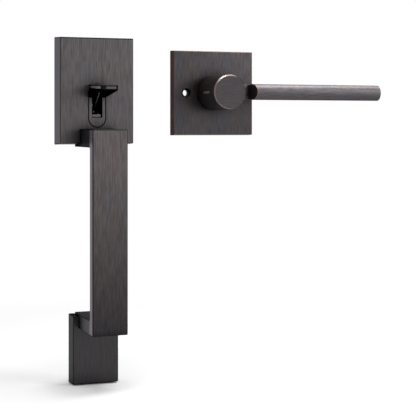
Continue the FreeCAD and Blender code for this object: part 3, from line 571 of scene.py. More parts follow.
@dataclass(frozen=True)
class PlatedSteel:
    """Zinc plate on pressed or turned steel: pale, with soft clouds and fine machining lines.

    Attributes:
        name: the material's name.
        tone: main colour.
        shade: colour in the clouds.
        worn: colour of the worn edges.
        roughness: middle roughness.
        lines: width of the machining lines.
        grain: the way the lines run.
    """

    name: str
    tone: Colour = (0.56, 0.57, 0.57)
    shade: Colour = (0.40, 0.41, 0.40)
    worn: Colour = (0.74, 0.74, 0.72)
    roughness: float = 0.34
    lines: float = 0.5
    grain: Grain = Grain.NONE

    def material(self) -> bpy.types.Material:
        """Build the finish.

        Returns:
            The material.
        """
        bench = FinishBench(self.name)
        worn_share = 0.35
        cloud = bench.noise((7.0, 7.0, 7.0), detail=4.0)
        line = bench.noise(self.grain.streaks(width=self.lines, length=12.0), detail=2.0, rough=0.5)
        tone = bench.blend(bench.spread(cloud, 0.35, 0.65), (*self.tone, 1.0), (*self.shade, 1.0))
        wear = bench.math("MULTIPLY", bench.edge(), worn_share)
        bench.look("Base Color", bench.blend(wear, tone, (*self.worn, 1.0)))
        bench.look("Roughness", bench.swing(cloud, self.roughness - 0.07, self.roughness + 0.09))
        bench.look("Metallic", 1.0)
        bench.bump(line, strength=0.2, depth=0.015)
        return bench.material


@dataclass(frozen=True)
class PlainPlastic:
    """Moulded bearing plastic with a fine matt texture.

    Attributes:
        name: the material's name.
        tone: main colour.
        lift: how much lighter the texture's peaks are.
    """

    name: str
    tone: Colour = (0.02, 0.02, 0.021)
    lift: float = 1.6

    def material(self) -> bpy.types.Material:
        """Build the finish.

        Returns:
            The material.
        """
        bench = FinishBench(self.name)
        grit = bench.noise((0.25, 0.25, 0.25))
        peaks = tuple(self.lift * part for part in self.tone)
        bench.look("Base Color", bench.blend(bench.swing(grit), (*self.tone, 1.0), (*peaks, 1.0)))
        bench.look("Roughness", bench.swing(grit, 0.42, 0.58))
        bench.bump(grit, strength=0.3, depth=0.02)
        return bench.material


ZINC = PlatedSteel("zinc_plate", grain=Grain.LEVEL)
SCREW = PlatedSteel("screw_steel", tone=(0.50, 0.45, 0.35), shade=(0.38, 0.35, 0.29), roughness=0.28,
                    lines=0.3)
SPRING = PlatedSteel("spring_steel", tone=(0.22, 0.22, 0.235), shade=(0.15, 0.15, 0.16), roughness=0.3,
                     lines=0.2)
BRASS = PlatedSteel("brass", tone=(0.34, 0.26, 0.18), shade=(0.24, 0.18, 0.12), roughness=0.36)
NYLON = PlainPlastic("nylon_black")


class Workshop:
    """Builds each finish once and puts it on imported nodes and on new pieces."""

    def __init__(self) -> None:
        """Start with no finish made."""
        self.made: dict[str, bpy.types.Material] = {}

    def material(self, finish: Finish) -> bpy.types.Material:
        """Material of a finish, built on first use.

        Args:
            finish: the finish.

        Returns:
            Its material.
        """
        if finish.name not in self.made:
            self.made[finish.name] = finish.material()
        return self.made[finish.name]

    def dress(self, node: str, finish: Finish) -> None:
        """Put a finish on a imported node.

        Args:
            node: the node's name.
            finish: the finish that it gets.
        """
        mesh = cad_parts[node].data
        mesh.materials.clear()
        mesh.materials.append(self.material(finish))
        log.info("%s in %s", node, finish.name)

    def place(self, name: str, form: bmesh.types.BMesh, finish: Finish, body: str, slot: str,
              stands_for: tuple[str, ...] = ()) -> bpy.types.Object:
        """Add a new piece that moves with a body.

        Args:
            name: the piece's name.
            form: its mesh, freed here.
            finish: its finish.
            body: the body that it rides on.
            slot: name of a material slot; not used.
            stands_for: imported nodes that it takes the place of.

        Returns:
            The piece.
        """
        bmesh.ops.recalc_face_normals(form, faces=form.faces)
        mesh = bpy.data.meshes.new(name)
        form.to_mesh(mesh)
        form.free()
        mesh.shade_smooth()
        mesh.materials.append(self.material(finish))
        item = bpy.data.objects.new(name, mesh)
        bpy.context.scene.collection.objects.link(item)
        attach(item, body)
        if stands_for:
            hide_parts(*stands_for)
        log.info("%s made, %d faces", name, len(mesh.polygons))
        return item


def skinned(rings: list[list[bmesh.types.BMVert]], form: bmesh.types.BMesh) -> bmesh.types.BMesh:
    """Close a row of rings into a tube with flat ends.

    Args:
        rings: the rings from one end to the other, all with as many corners.
        form: the mesh that holds them.

    Returns:
        The same mesh, closed.
    """
    sides = len(rings[0])
    for one, two in zip(rings, rings[1:]):
        for corner in range(sides):
            after = (corner + 1) % sides
            form.faces.new((one[corner], one[after], two[after], two[corner]))
    form.faces.new(list(reversed(rings[0])))
    form.faces.new(rings[-1])
    return form


@dataclass(frozen=True)
class Wire:
    """A wound wire spring of round section, with a straight leg at its start.

    Attributes:
        centre: the coil's centre where the winding starts.
        start: direction from the centre to the winding's first point.
        across: direction a quarter turn further on.
        advance: direction in which the coil grows.
        radius: radius of the wire's middle line.
        wire: radius of the wire.
        turns: number of turns.
        pitch: growth in one turn.
        leg: points of the leg before the winding.
        steps: points in one turn.
        sides: corners of the wire's section.
    """

    centre: Point
    start: Point
    across: Point
    advance: Point
    radius: float
    wire: float
    turns: float
    pitch: float
    leg: tuple[Point, ...]
    steps: int = 40
    sides: int = 10

    def line(self) -> list[Vector]:
        """Lay out the wire's middle line.

        Returns:
            Its points, in metres.
        """
        points = [Vector(point) * MM for point in self.leg]
        first, second, growth = Vector(self.start), Vector(self.across), Vector(self.advance)
        for step in range(round(self.turns * self.steps) + 1):
            turn = step / self.steps
            angle = 2 * math.pi * turn
            points.append((Vector(self.centre) + growth * (self.pitch * turn)
                           + (first * math.cos(angle) + second * math.sin(angle)) * self.radius) * MM)
        return points

    def mesh(self) -> bmesh.types.BMesh:
        """Skin the wire.

        Returns:
            A closed mesh in the part's frame.
        """
        flattest = 0.2
        form = bmesh.new()
        line = self.line()
        side = Vector(self.advance)
        angles = [2 * math.pi * corner / self.sides for corner in range(self.sides)]
        rings = []
        for index, point in enumerate(line):
            way = (line[min(index + 1, len(line) - 1)] - line[max(index - 1, 0)]).normalized()
            side = side - way * side.dot(way)
            if side.length < flattest:
                side = way.orthogonal()
            side.normalize()
            up = way.cross(side)
            rings.append([form.verts.new(point + (side * math.cos(angle) + up * math.sin(angle))
                                         * (self.wire * MM)) for angle in angles])
        return skinned(rings, form)


@dataclass(frozen=True)
class BoreThread:
    """Screw thread inside a bore that runs back from the door's face.

    Attributes:
        x: place of the bore's axis.
        z: height of the bore's axis.
        mouth: y of the first ridge, near the bore's mouth.
        turns: number of turns.
        bore: radius of the bore.
        ridge: height of the ridge.
        pitch: distance from one ridge to the next.
        half_width: half of the ridge's width at its foot.
        sunk: how far the foot lies in the wall.
        steps: points in one turn.
    """

    x: float
    z: float
    mouth: float = 11.2
    turns: int = 12
    bore: float = 2.0
    ridge: float = 0.3
    pitch: float = 0.7
    half_width: float = 0.32
    sunk: float = 0.03
    steps: int = 24

    def mesh(self) -> bmesh.types.BMesh:
        """Build the ridge as a three-sided ribbon wound along the bore.

        Returns:
            A closed mesh in the part's frame.
        """
        form = bmesh.new()
        rings = []
        foot = self.bore + self.sunk
        for step in range(self.turns * self.steps + 1):
            turn = step / self.steps
            angle, back = 2 * math.pi * turn, self.mouth - self.pitch * turn
            fade = min(1.0, turn * 2, (self.turns - turn) * 2 + 0.1)
            crest = self.bore - self.ridge * fade
            section = ((foot, self.half_width), (crest, 0.0), (foot, -self.half_width))
            rings.append([form.verts.new(Vector((self.x + reach * math.cos(angle), back + shift,
                                                 self.z + reach * math.sin(angle))) * MM)
                          for reach, shift in section])
        return skinned(rings, form)


class SubAssembly:
    """A group of pieces that is dressed, and completed with details, together."""

    def finishes(self) -> dict[str, Finish]:
        """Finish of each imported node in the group."""
        raise NotImplementedError

    def details(self, shop: Workshop) -> None:
        """Add the group's own pieces; some groups have none."""

    def build(self, shop: Workshop) -> None:
        """Dress the group's nodes, then add its details.

        Args:
            shop: the workshop that builds finishes and pieces.
        """
        log.info("%s", type(self).__name__)
        for node, finish in self.finishes().items():
            shop.dress(node, finish)
        self.details(shop)


def corners_of(node: str) -> list[Vector]:
    """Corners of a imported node's mesh, in millimetres."""
    return [vert.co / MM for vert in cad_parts[node].data.vertices]


class Side(Enum):
    """Edge of a front face."""

    LEFT = "left"
    RIGHT = "right"
    FOOT = "foot"
    TOP = "top"


@dataclass(frozen=True)
class FrontFace:
    """The flat front of a cover.

    Attributes:
        left: its left edge.
        right: its right edge.
        low: its lower edge.
        high: its upper edge.
        depth: its depth.
        skin: how far back a line on the face reaches.
        beyond: how far past the edge it starts.
    """

    left: float
    right: float
    low: float
    high: float
    depth: float
    skin: float = 0.7
    beyond: float = 1.0

    @classmethod
    def of(cls, node: str) -> "FrontFace":
        """Find a node's front face.

        Args:
            node: the cover's node.

        Returns:
            Its front face.
        """
        fillet = 0.6
        places = corners_of(node)
        front = min(co.y for co in places)
        near = [co for co in places if co.y < front + fillet]
        return cls(min(co.x for co in near), max(co.x for co in near), min(co.z for co in near),
                   max(co.z for co in near), -front)

    def layer(self) -> Slab:
        """The thin layer that holds the face."""
        return Slab(FORTH, -FAR, self.skin - self.depth)

    def line(self, side: Side, width: float, colour: Colour, share: float, glance: Colour = DULL,
             soft: float = 0.1) -> Zone:
        """A line along one edge of the face only, not round its flank.

        Args:
            side: the edge.
            width: how far the line reaches in from it.
            colour: the line's colour.
            share: how much of that colour shows.
            glance: tint of the line seen at a low angle.
            soft: half of the width over which its borders fade.

        Returns:
            The line.
        """
        edge = {Side.LEFT: self.left, Side.RIGHT: self.right, Side.FOOT: self.low, Side.TOP: self.high}[side]
        way = UPWARD if side in (Side.FOOT, Side.TOP) else SIDEWAYS
        if side in (Side.RIGHT, Side.TOP):
            strip = Slab(way, edge - width, edge + self.beyond, soft)
        else:
            strip = Slab(way, edge - self.beyond, edge + width, soft)
        return Zone((self.layer(), strip), colour, share, glance)

    def tint(self, low: float, high: float, colour: Colour, soft: float) -> Zone:
        """A band of painted shade on the face between two heights: the colour there is multiplied by a factor.
        """
        return Zone((self.layer(), Slab(UPWARD, low, high, soft)), colour, tints=True)


@dataclass
class Escutcheon(SubAssembly):
    """Square cover with its thumb slot, on a plate with two threaded posts.

    Attributes:
        depth: depth of the insert's front face.
        slot_low: lower centre of the slot's obround.
        slot_high: upper centre of it.
        slot_radius: its radius.
        ledge_depth: depth of the ledge's face in the pocket's foot.
        ledge_low: its lower edge.
        ledge_high: its upper edge.
        bolt_spacing: distance between the posts.
        cool: colour of the grey streaks.
        warm: colour of the brown streaks.
    """

    depth: float = 16.5
    slot_low: float = -21.45
    slot_high: float = -1.75
    slot_radius: float = 6.55
    ledge_depth: float = 15.7
    ledge_low: float = -20.4
    ledge_high: float = -18.4
    bolt_spacing: float = 46.4
    cool: Colour = (0.089, 0.087, 0.095)
    warm: Colour = (0.103, 0.089, 0.086)

    def slot(self, inward: float, outward: float) -> Obround:
        """A ring along the slot's border, where shade is painted, from the distances that it reaches to each
        side.
        """
        return Obround(0, self.slot_low, self.slot_high, self.slot_radius - inward,
                       self.slot_radius + outward, 0.1)

    def cover(self) -> Finish:
        """Bronze of the cover, with dark lines along its edges, the top one a painted reflection, and painted
        shade round the slot.

        Returns:
            The finish.
        """
        front = FrontFace.of("exterior_escutcheon")
        return BrushedBronze(
            "bronze_cover", glance=(0.62, 0.63, 0.68), cool=self.cool, warm=self.warm, corner_shade=0.34, zones=(
                # painted reflection: dark line along the top edge
                front.line(Side.TOP, 1.0, DARK, 0.95),
                front.line(Side.FOOT, 0.45, DARK, 0.8),
                front.line(Side.LEFT, 0.3, (0.05, 0.032, 0.028), 0.8, (0.2, 0.15, 0.15)),
                # painted shade in the gap round the slot
                Zone((front.layer(), self.slot(0.55, 0.7)), SHADE_BLACK, 0.9)))

    def insert(self) -> Finish:
        """Bronze of the slot's insert: painted shade in black round its border and inside the pocket, apart
        from a light ledge in its foot.

        Returns:
            The finish.
        """
        pocket = Slab(FORTH, 0.35 - self.depth, FAR)
        ledge = (Slab(FORTH, -self.ledge_depth - 0.05, 0.05 - self.ledge_depth),
                 Slab(UPWARD, self.ledge_low, self.ledge_high))
        return BrushedBronze("bronze_insert", cool=self.cool, warm=self.warm, rim_share=0.5, zones=(
            # painted shade in black round the insert's border and inside the pocket
            Zone((self.slot(0.25, 2.45),), SHADE_BLACK, 0.9),
            Zone((pocket,), SHADE_BLACK),
            Zone(ledge, (0.12, 0.118, 0.12), 1.0, (0.6, 0.6, 0.6))))

    def finishes(self) -> dict[str, Finish]:
        """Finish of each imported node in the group.

        Returns:
            The finishes by node.
        """
        return {"exterior_escutcheon": self.cover(), "thumb_slot_insert": self.insert(),
                "exterior_mounting_plate": ZINC, "mounting_post_left": ZINC, "mounting_post_right": ZINC,
                "escutcheon_cover_screws": SCREW}

    def details(self, shop: Workshop) -> None:
        """Cut the threads of the two posts.

        Args:
            shop: the workshop.
        """
        for side, name in ((-1, "left"), (1, "right")):
            thread = BoreThread(side * self.bolt_spacing / 2, 0.0)
            shop.place("mounting_post_%s_thread" % name, thread.mesh(), ZINC, "door_fixed", "steel")


@dataclass
class ThumbWorks(SubAssembly):
    """Thumbpiece on its pin, with its spring.

    Attributes:
        slope: fall of the hood's top towards the front.
        top: height of the hood's top, carried back to the door's face.
        front: depth of the hood's front.
        width: width of the hood.
        rib_way: direction square to the rib's lower edge.
        rib_highlight_span: where the painted highlight on the rib starts and ends along it.
        rib_highlight_sides: left and right border of that highlight.
        pin_depth: depth of the pivot pin.
        pin_height: height of the pivot pin.
        coil_start: place of the coil's first turn.
        coil_radius: radius of the spring.
        wire: radius of the spring's wire.
    """

    slope: float = 0.0494
    top: float = 5.65
    front: float = 55.0
    width: float = 13.2
    rib_way: Point = (0, -0.6238, -0.7817)
    rib_highlight_span: tuple[float, float] = (18.1, 19.2)
    rib_highlight_sides: tuple[float, float] = (-1.7, -0.9)
    pin_depth: float = 8.0
    pin_height: float = -18.6
    coil_start: float = 1.9
    coil_radius: float = 1.7
    wire: float = 0.3

    def thumbpiece(self) -> Finish:
        """Bronze of the thumbpiece, with painted light and shade: a painted highlight on its flank's upper
        edge and along one line of its rib, and painted shade in black below, along its top edges and at the
        ends of its nose.

        Returns:
            The finish.
        """
        half = self.width / 2
        across_top = (0, -self.slope, 1)
        face = Slab(FORTH, -FAR, 0.8 - self.front)
        nose = Slab(FORTH, -FAR, 3.2 - self.front)
        flank = Slab(SIDEWAYS, -half - 1, 0.3 - half)
        brow = Slab(across_top, self.top - 0.95, self.top)
        under = Slab(across_top, -FAR, self.top - 2.7)
        lit_flank = (flank, Slab(FORTH, 3.4 - self.front, -23.0, 3.0))
        rib = (Slab(self.rib_way, *self.rib_highlight_span), Slab(SIDEWAYS, *self.rib_highlight_sides))
        return BrushedBronze(
            "bronze_thumb", cool=(0.12, 0.12, 0.128), warm=(0.13, 0.12, 0.12), stretch=0.2, zones=(
                # painted highlight on the flank's upper edge
                Zone(lit_flank, (0.50, 0.49, 0.51), 1.0, HIGHLIGHT_GLANCE),
                Zone((face,), (0.085, 0.083, 0.088), 0.9, (0.3, 0.3, 0.3)),
                # painted shade in black at the ends of the nose, along the top edges and underneath
                Zone((nose, Slab(SIDEWAYS, -half - 1, -3.0, 0.6)), SHADE_BLACK, 0.9),
                Zone((nose, Slab(SIDEWAYS, 4.2, half + 1, 0.6)), SHADE_BLACK, 0.9),
                Zone((flank, brow), SHADE_BLACK, 0.9),
                Zone((face, brow), SHADE_BLACK, 0.9),
                Zone((under,), SHADE_BLACK),
                # painted highlight along the rib
                Zone(rib, (0.42, 0.41, 0.42), 1.0, HIGHLIGHT_GLANCE)))

    def finishes(self) -> dict[str, Finish]:
        """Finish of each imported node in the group."""
        return {"thumbpiece": self.thumbpiece(), "thumbpiece_pivot_pin": ZINC}

    def details(self, shop: Workshop) -> None:
        """Wind the thumbpiece's spring round its pin.

        Args:
            shop: the workshop.
        """
        low = self.pin_height - self.coil_radius
        leg = ((self.coil_start, 2.2 - self.pin_depth, low),)
        spring = Wire((self.coil_start, -self.pin_depth, self.pin_height), (0, 0, -1), (0, -1, 0), (1, 0, 0),
                      self.coil_radius, self.wire, turns=2.5, pitch=0.7, leg=leg)
        shop.place("thumbpiece_spring_wire", spring.mesh(), SPRING, "door_fixed", "spring_steel",
                   ("thumbpiece_spring",))


@dataclass
class CrankWorks(SubAssembly):
    """Crank that the thumbpiece lifts, its spring and the spindle through the door.

    Attributes:
        coil_radius: radius of the spring.
        wire: radius of its wire.
        coil_back: y of its first turn.
        leg_end: y of the leg's end in the mounting plate.
    """

    coil_radius: float = 7.1
    wire: float = 0.6
    coil_back: float = 3.35
    leg_end: float = -1.25

    def finishes(self) -> dict[str, Finish]:
        """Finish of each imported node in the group."""
        return {"spindle_crank": ZINC, "crank_retaining_ring": SPRING, "exterior_spindle": ZINC}

    def details(self, shop: Workshop) -> None:
        """Wind the crank's spring, its leg in the mounting plate.

        Args:
            shop: the workshop.
        """
        leg = ((-self.coil_radius, self.leg_end, 0), (-self.coil_radius, self.coil_back - 0.7, 0))
        spring = Wire((0, self.coil_back, 0), (-1, 0, 0), (0, 0, 1), (0, 1, 0), self.coil_radius, self.wire,
                      turns=3.0, pitch=1.5, leg=leg)
        shop.place("crank_return_spring_wire", spring.mesh(), SPRING, "door_fixed", "spring_steel",
                   ("crank_return_spring",))


@dataclass
class Grip(SubAssembly):
    """Flat grip, cast in one with its two posts.

    Attributes:
        post_depth: depth at which a post meets the grip.
        upper_post: lowest and highest place of the upper post.
        lower_post: the same of the lower post.
        shade_middle: height at which the grip's painted shade is half done.
        shade_reach: how far above and below that it starts and ends.
    """

    post_depth: float = 45.5
    upper_post: tuple[float, float] = (-60.0, 0.0)
    lower_post: tuple[float, float] = (-FAR, -165.0)
    shade_middle: float = -121.0
    shade_reach: float = 64.0

    def post_top(self) -> float:
        """Height of the lower post's upper face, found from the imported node.

        Returns:
            The height.
        """
        between_posts = -100.0
        return max(co.z for co in corners_of("grip_handle")
                   if co.y > 1 - self.post_depth and co.z < between_posts)

    def finishes(self) -> dict[str, Finish]:
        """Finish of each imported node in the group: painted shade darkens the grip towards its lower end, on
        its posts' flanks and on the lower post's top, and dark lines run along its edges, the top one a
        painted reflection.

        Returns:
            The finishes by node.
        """
        flank = Slab(FORTH, -self.post_depth, FAR)
        front = FrontFace.of("grip_handle")
        ledge = self.post_top()
        bronze = BrushedBronze("bronze_grip", cool=(0.100, 0.095, 0.102), warm=(0.119, 0.098, 0.094), zones=(
            # painted shade on the posts' flanks and on the lower post's top
            Zone((Slab(UPWARD, *self.upper_post), flank), (0.064, 0.063, 0.067), 1.0, (0.30, 0.30, 0.32)),
            Zone((Slab(UPWARD, *self.lower_post), flank), (0.060, 0.058, 0.064), 0.85, (0.55, 0.55, 0.55)),
            Zone((Slab(UPWARD, ledge - 0.5, ledge + 1), flank), (0.03, 0.029, 0.031), 1.0, (0.2, 0.2, 0.21)),
            # painted reflection: dark line along the top edge
            front.line(Side.TOP, 0.9, DARK, 0.85),
            # painted shade: darker towards the grip's lower end, and in a band along its foot
            front.tint(-FAR, self.shade_middle, (0.275, 0.28, 0.295), self.shade_reach),
            front.tint(front.low - 9, front.low + 1.5, (0.5, 0.49, 0.5), 3.0),
            front.line(Side.FOOT, 0.8, DARK, 0.95),
            front.line(Side.RIGHT, 0.35, DARK, 0.6),
            front.line(Side.LEFT, 0.7, (0.022, 0.014, 0.012), 0.85, (0.1, 0.07, 0.07))))
        return {"grip_handle": bronze, "upper_grip_screws": SCREW, "lower_grip_screws": SCREW}


@dataclass
class Foot(SubAssembly):
    """Small cover under the grip's lower post, on a plate with one threaded post.

    Attributes:
        post_height: height of the threaded post's axis.
    """

    post_height: float = -200.75

    def finishes(self) -> dict[str, Finish]:
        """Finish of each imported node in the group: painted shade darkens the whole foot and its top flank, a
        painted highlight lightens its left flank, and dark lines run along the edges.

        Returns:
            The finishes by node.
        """
        front = FrontFace.of("foot_cover")
        behind = Slab(FORTH, 0.5 - front.depth, FAR)
        left_flank_highlight = (behind, Slab(SIDEWAYS, -FAR, front.left + 0.2))
        top_flank_shade = (behind, Slab(UPWARD, front.high, FAR))
        # painted shade: the foot's colours are darker than the grip's and its top flank darker still; painted
        # highlight on its left flank
        bronze = BrushedBronze(
            "bronze_foot", cool=(0.041, 0.040, 0.044), warm=(0.046, 0.041, 0.041), glance=(0.6, 0.6, 0.6),
            contrast=0.14, corner_shade=0.7, zones=(
                Zone(left_flank_highlight, (0.050, 0.050, 0.056), 0.9, (0.55, 0.55, 0.55)),
                Zone(top_flank_shade, (0.03, 0.029, 0.031), 1.0, (0.2, 0.2, 0.21)),
                front.line(Side.FOOT, 0.4, DARK, 0.7),
                front.line(Side.LEFT, 0.55, DARK, 0.8),
                front.line(Side.RIGHT, 0.5, DARK, 0.8)))
        return {"foot_cover": bronze, "foot_mounting_plate": ZINC, "foot_mounting_post": ZINC,
                "foot_cover_screws": SCREW}

    def details(self, shop: Workshop) -> None:
        """Cut the thread of the post."""
        thread = BoreThread(0.0, self.post_height)
        shop.place("foot_mounting_post_thread", thread.mesh(), ZINC, "door_fixed", "steel")


@dataclass
class Rose(SubAssembly):
    """Square interior rose, its plate, the cage round the lever's spring and the bushing.

    Attributes:
        x: place of the spindle's axis on the inside.
        z: its height.
        bolt_spacing: distance between the screw holes.
        sink_radius: radius of a screw hole's sunk rim.
        inner_half: half of the width inside the rose's outer edges.
        lit_corner: how far from the axis the painted highlight towards the upper right corner starts.
        coil_radius: radius of the lever's spring.
        coil_back: y of its first turn.
        wire: radius of its wire.
        leg: distance from the axis to the start and the end of the spring's leg.
    """

    x: float = 98.9
    z: float = -0.8
    bolt_spacing: float = 46.4
    sink_radius: float = 3.8
    inner_half: float = 31.0
    lit_corner: float = 18.0
    coil_radius: float = 14.25
    coil_back: float = -3.05
    wire: float = 0.65
    leg: tuple[float, float] = (11.3, 12.8)

    def cover(self) -> Finish:
        """Bronze of the rose: coppery along its edges, painted shade in black in its screw holes and on its
        inner edges, and a painted highlight to its upper right.

        Returns:
            The finish.
        """
        front = FrontFace.of("interior_rose")
        half = self.bolt_spacing / 2
        slant = math.sqrt(0.5)
        # painted highlight towards the upper right corner
        corner = Slab((slant, 0, slant), self.x * slant + self.lit_corner, FAR, 16.0)
        lines = [front.line(side, width, colour, share, REDDISH, 0.15) for side, width, colour, share in (
            (Side.RIGHT, 0.45, COPPER, 0.75),
            (Side.FOOT, 0.45, COPPER, 0.6),
            (Side.TOP, 0.35, (0.11, 0.07, 0.06), 0.6),
            (Side.LEFT, 0.45, (0.07, 0.045, 0.04), 0.7))]
        # painted shade in black in the screw holes
        holes = [Zone((Obround(self.x + side * half, self.z, self.z, -1.0, self.sink_radius),), SHADE_BLACK)
                 for side in (-1, 1)]
        # painted shade in black on the edges inside the rose's outer edges
        bore = Zone((Slab(SIDEWAYS, self.x - self.inner_half, self.x + self.inner_half),
                     Slab(UPWARD, self.z - self.inner_half, self.z + self.inner_half)), SHADE_BLACK)
        return BrushedBronze(
            "bronze_rose", rim=COPPER, rim_share=0.7, glance=(0.40, 0.33, 0.33), cool=(0.058, 0.058, 0.066),
            warm=(0.070, 0.059, 0.057), roughness=0.30, corner_shade=0.35, rim_zones=(bore,),
            zones=(*lines, Zone((corner,), (1.32, 1.30, 1.30), tints=True), *holes))

    def finishes(self) -> dict[str, Finish]:
        """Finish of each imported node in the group."""
        return {"interior_rose": self.cover(), "rose_mounting_plate": ZINC, "spring_cage": ZINC,
                "lever_bushing": NYLON}

    def details(self, shop: Workshop) -> None:
        """Wind the lever's spring in its cage.

        Args:
            shop: the workshop.
        """
        leg = tuple((self.x + reach, self.coil_back, self.z) for reach in self.leg)
        spring = Wire((self.x, self.coil_back, self.z), (1, 0, 0), (0, 0, 1), (0, -1, 0), self.coil_radius,
                      self.wire, turns=1.75, pitch=1.5, leg=leg)
        shop.place("lever_return_spring_wire", spring.mesh(), SPRING, "door_fixed", "spring_steel",
                   ("lever_return_spring",))


@dataclass
class LeverWorks(SubAssembly):
    """Interior lever, its driver and the catch that holds it.

    Attributes:
        x: place of the hub's axis.
        z: its height.
        face_depth: depth of the hub's face.
        bar_root: distance from the hub's axis to the low end of the bar's slanted face.
        bar_depth: depth of the bar's axis.
        bar_radius: radius of the bar.
        slant: how far the slanted face leans out.
        recess: depth of the slanted face's low end below the hub's face.
        catch_depth: depth of the catch's axis.
        catch_spring_start: place of the catch spring's moving end.
        catch_spring_end: place of its fixed end.
        catch_spring_turns: number of its turns.
        catch_travel: how far the catch is pressed in; not used.
    """

    x: float = 98.9
    z: float = -0.8
    face_depth: float = 47.4
    bar_root: float = 15.1
    bar_depth: float = 50.0
    bar_radius: float = 6.2
    slant: float = 3.7
    recess: float = 1.4
    catch_depth: float = 28.0
    catch_spring_start: float = 95.2
    catch_spring_end: float = 103.85
    catch_spring_turns: float = 6.0
    catch_travel: float = 1.5

    def slanted_end(self) -> tuple[Zone, Zone]:
        """Painted shade on the slanted end of the bar, beside the hub, and the copper line round it.

        Returns:
            The line and the end.
        """
        rise = self.bar_depth + self.bar_radius - self.face_depth + self.recess
        length = math.hypot(self.slant, rise)
        out = (-rise / length, -self.slant / length, 0.0)
        plane = out[0] * (self.x + self.bar_root) - out[1] * (self.face_depth - self.recess)
        bar_side = Slab(SIDEWAYS, self.x + self.bar_root - 0.2, self.x + 22)
        proud = Slab(FORTH, -FAR, self.recess - self.face_depth)
        # copper line round the slanted end, and painted shade on the end itself
        return (Zone((bar_side, proud, Slab(out, plane - 0.8, plane - 0.1, 0.15)), COPPER, 0.8, REDDISH),
                Zone((bar_side, proud, Slab(out, plane - 0.1, plane + 1.0)), (0.042, 0.037, 0.039), 0.9,
                     (0.25, 0.22, 0.22)))

    def lever(self) -> Finish:
        """Bronze of the lever: greyer hub with painted shade on its side, a painted highlight on the ring
        round its face, and painted shade under the bar and on its slanted end.

        Returns:
            The finish.
        """
        root = self.x + self.bar_root
        hub = Slab(SIDEWAYS, 0, root)
        hub_side_shade = (Slab(FORTH, 1.6 - self.face_depth, 0), Slab(SIDEWAYS, 0, self.x + 4, 4.0))
        neck = (Slab(SIDEWAYS, self.x + 10.8, self.x + 14.4, 1.2), Slab(FORTH, -FAR, 4 - self.face_depth))
        bar_underside_shade = (Slab(SIDEWAYS, root, FAR), Slab(UPWARD, -FAR, self.z - 0.5, 3.0))
        ring = Slab(FORTH, 0.3 - self.face_depth, 1.3 - self.face_depth)
        left_ring = (ring, Slab(SIDEWAYS, self.x - 20, self.x + 2, 4.0))
        lit_ring = (ring, Slab(SIDEWAYS, self.x - 10, self.x - 4.5, 2.0), Slab(UPWARD, self.z + 7, FAR, 1.0))
        return BrushedBronze(
            "bronze_lever", grain=Grain.LEVEL, rim_share=0.0, roughness=0.40, contrast=0.20, relief=0.012,
            corner_shade=0.7, cool=(0.124, 0.121, 0.132), warm=(0.142, 0.123, 0.121), glance=(0.5, 0.45, 0.45),
            zones=(
                Zone((hub,), (0.52, 0.51, 0.52), tints=True),
                # painted shade on the hub's side
                Zone(hub_side_shade, (0.59, 0.575, 0.575), tints=True),
                Zone(neck, (1.13, 1.13, 1.13), tints=True),
                # painted shade on the bar's lower half
                Zone(bar_underside_shade, (0.61, 0.61, 0.65), tints=True),
                Zone(left_ring, (0.19, 0.15, 0.14), 0.75, (0.3, 0.26, 0.25)),
                # painted highlight on the ring's upper left
                Zone(lit_ring, (0.55, 0.53, 0.52), 0.8, (0.8, 0.8, 0.8)),
                *self.slanted_end()))

    def finishes(self) -> dict[str, Finish]:
        """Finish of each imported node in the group."""
        return {"interior_lever": self.lever(), "lever_driver": ZINC, "driver_retaining_ring": SPRING,
                "lever_catch": BRASS}

    def details(self, shop: Workshop) -> None:
        """Wind the catch's spring, which the catch presses together against the driver's far wall.

        Args:
            shop: the workshop.
        """
        length = self.catch_spring_end - self.catch_spring_start
        spring = Wire((self.catch_spring_start, -self.catch_depth, self.z), (0, 0, 1), (0, -1, 0), (1, 0, 0),
                      radius=1.9, wire=0.25, turns=self.catch_spring_turns,
                      pitch=length / self.catch_spring_turns, leg=())
        piece = shop.place("lever_catch_spring_wire", spring.mesh(), SPRING, "lever", "spring_steel",
                           ("lever_catch_spring",))
        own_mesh(piece)


@dataclass(frozen=True)
class Softbox:
    """A rectangular studio lamp.

    Attributes:
        name: the lamp's name.
        place: where it hangs, in metres.
        aim: the point that it faces.
        width: its width.
        height: its height.
        power: its power in watts.
    """

    name: str
    place: Point
    aim: Point
    width: float
    height: float
    power: float

    def build(self) -> None:
        """Hang the lamp."""
        lamp = bpy.data.lights.new(self.name, "AREA")
        lamp.shape = "RECTANGLE"
        lamp.size, lamp.size_y, lamp.energy = self.width, self.height, self.power
        item = bpy.data.objects.new(self.name, lamp)
        item.location = self.place
        item.rotation_euler = (Vector(self.aim) - Vector(self.place)).to_track_quat("-Z", "Y").to_euler()
        bpy.context.scene.collection.objects.link(item)


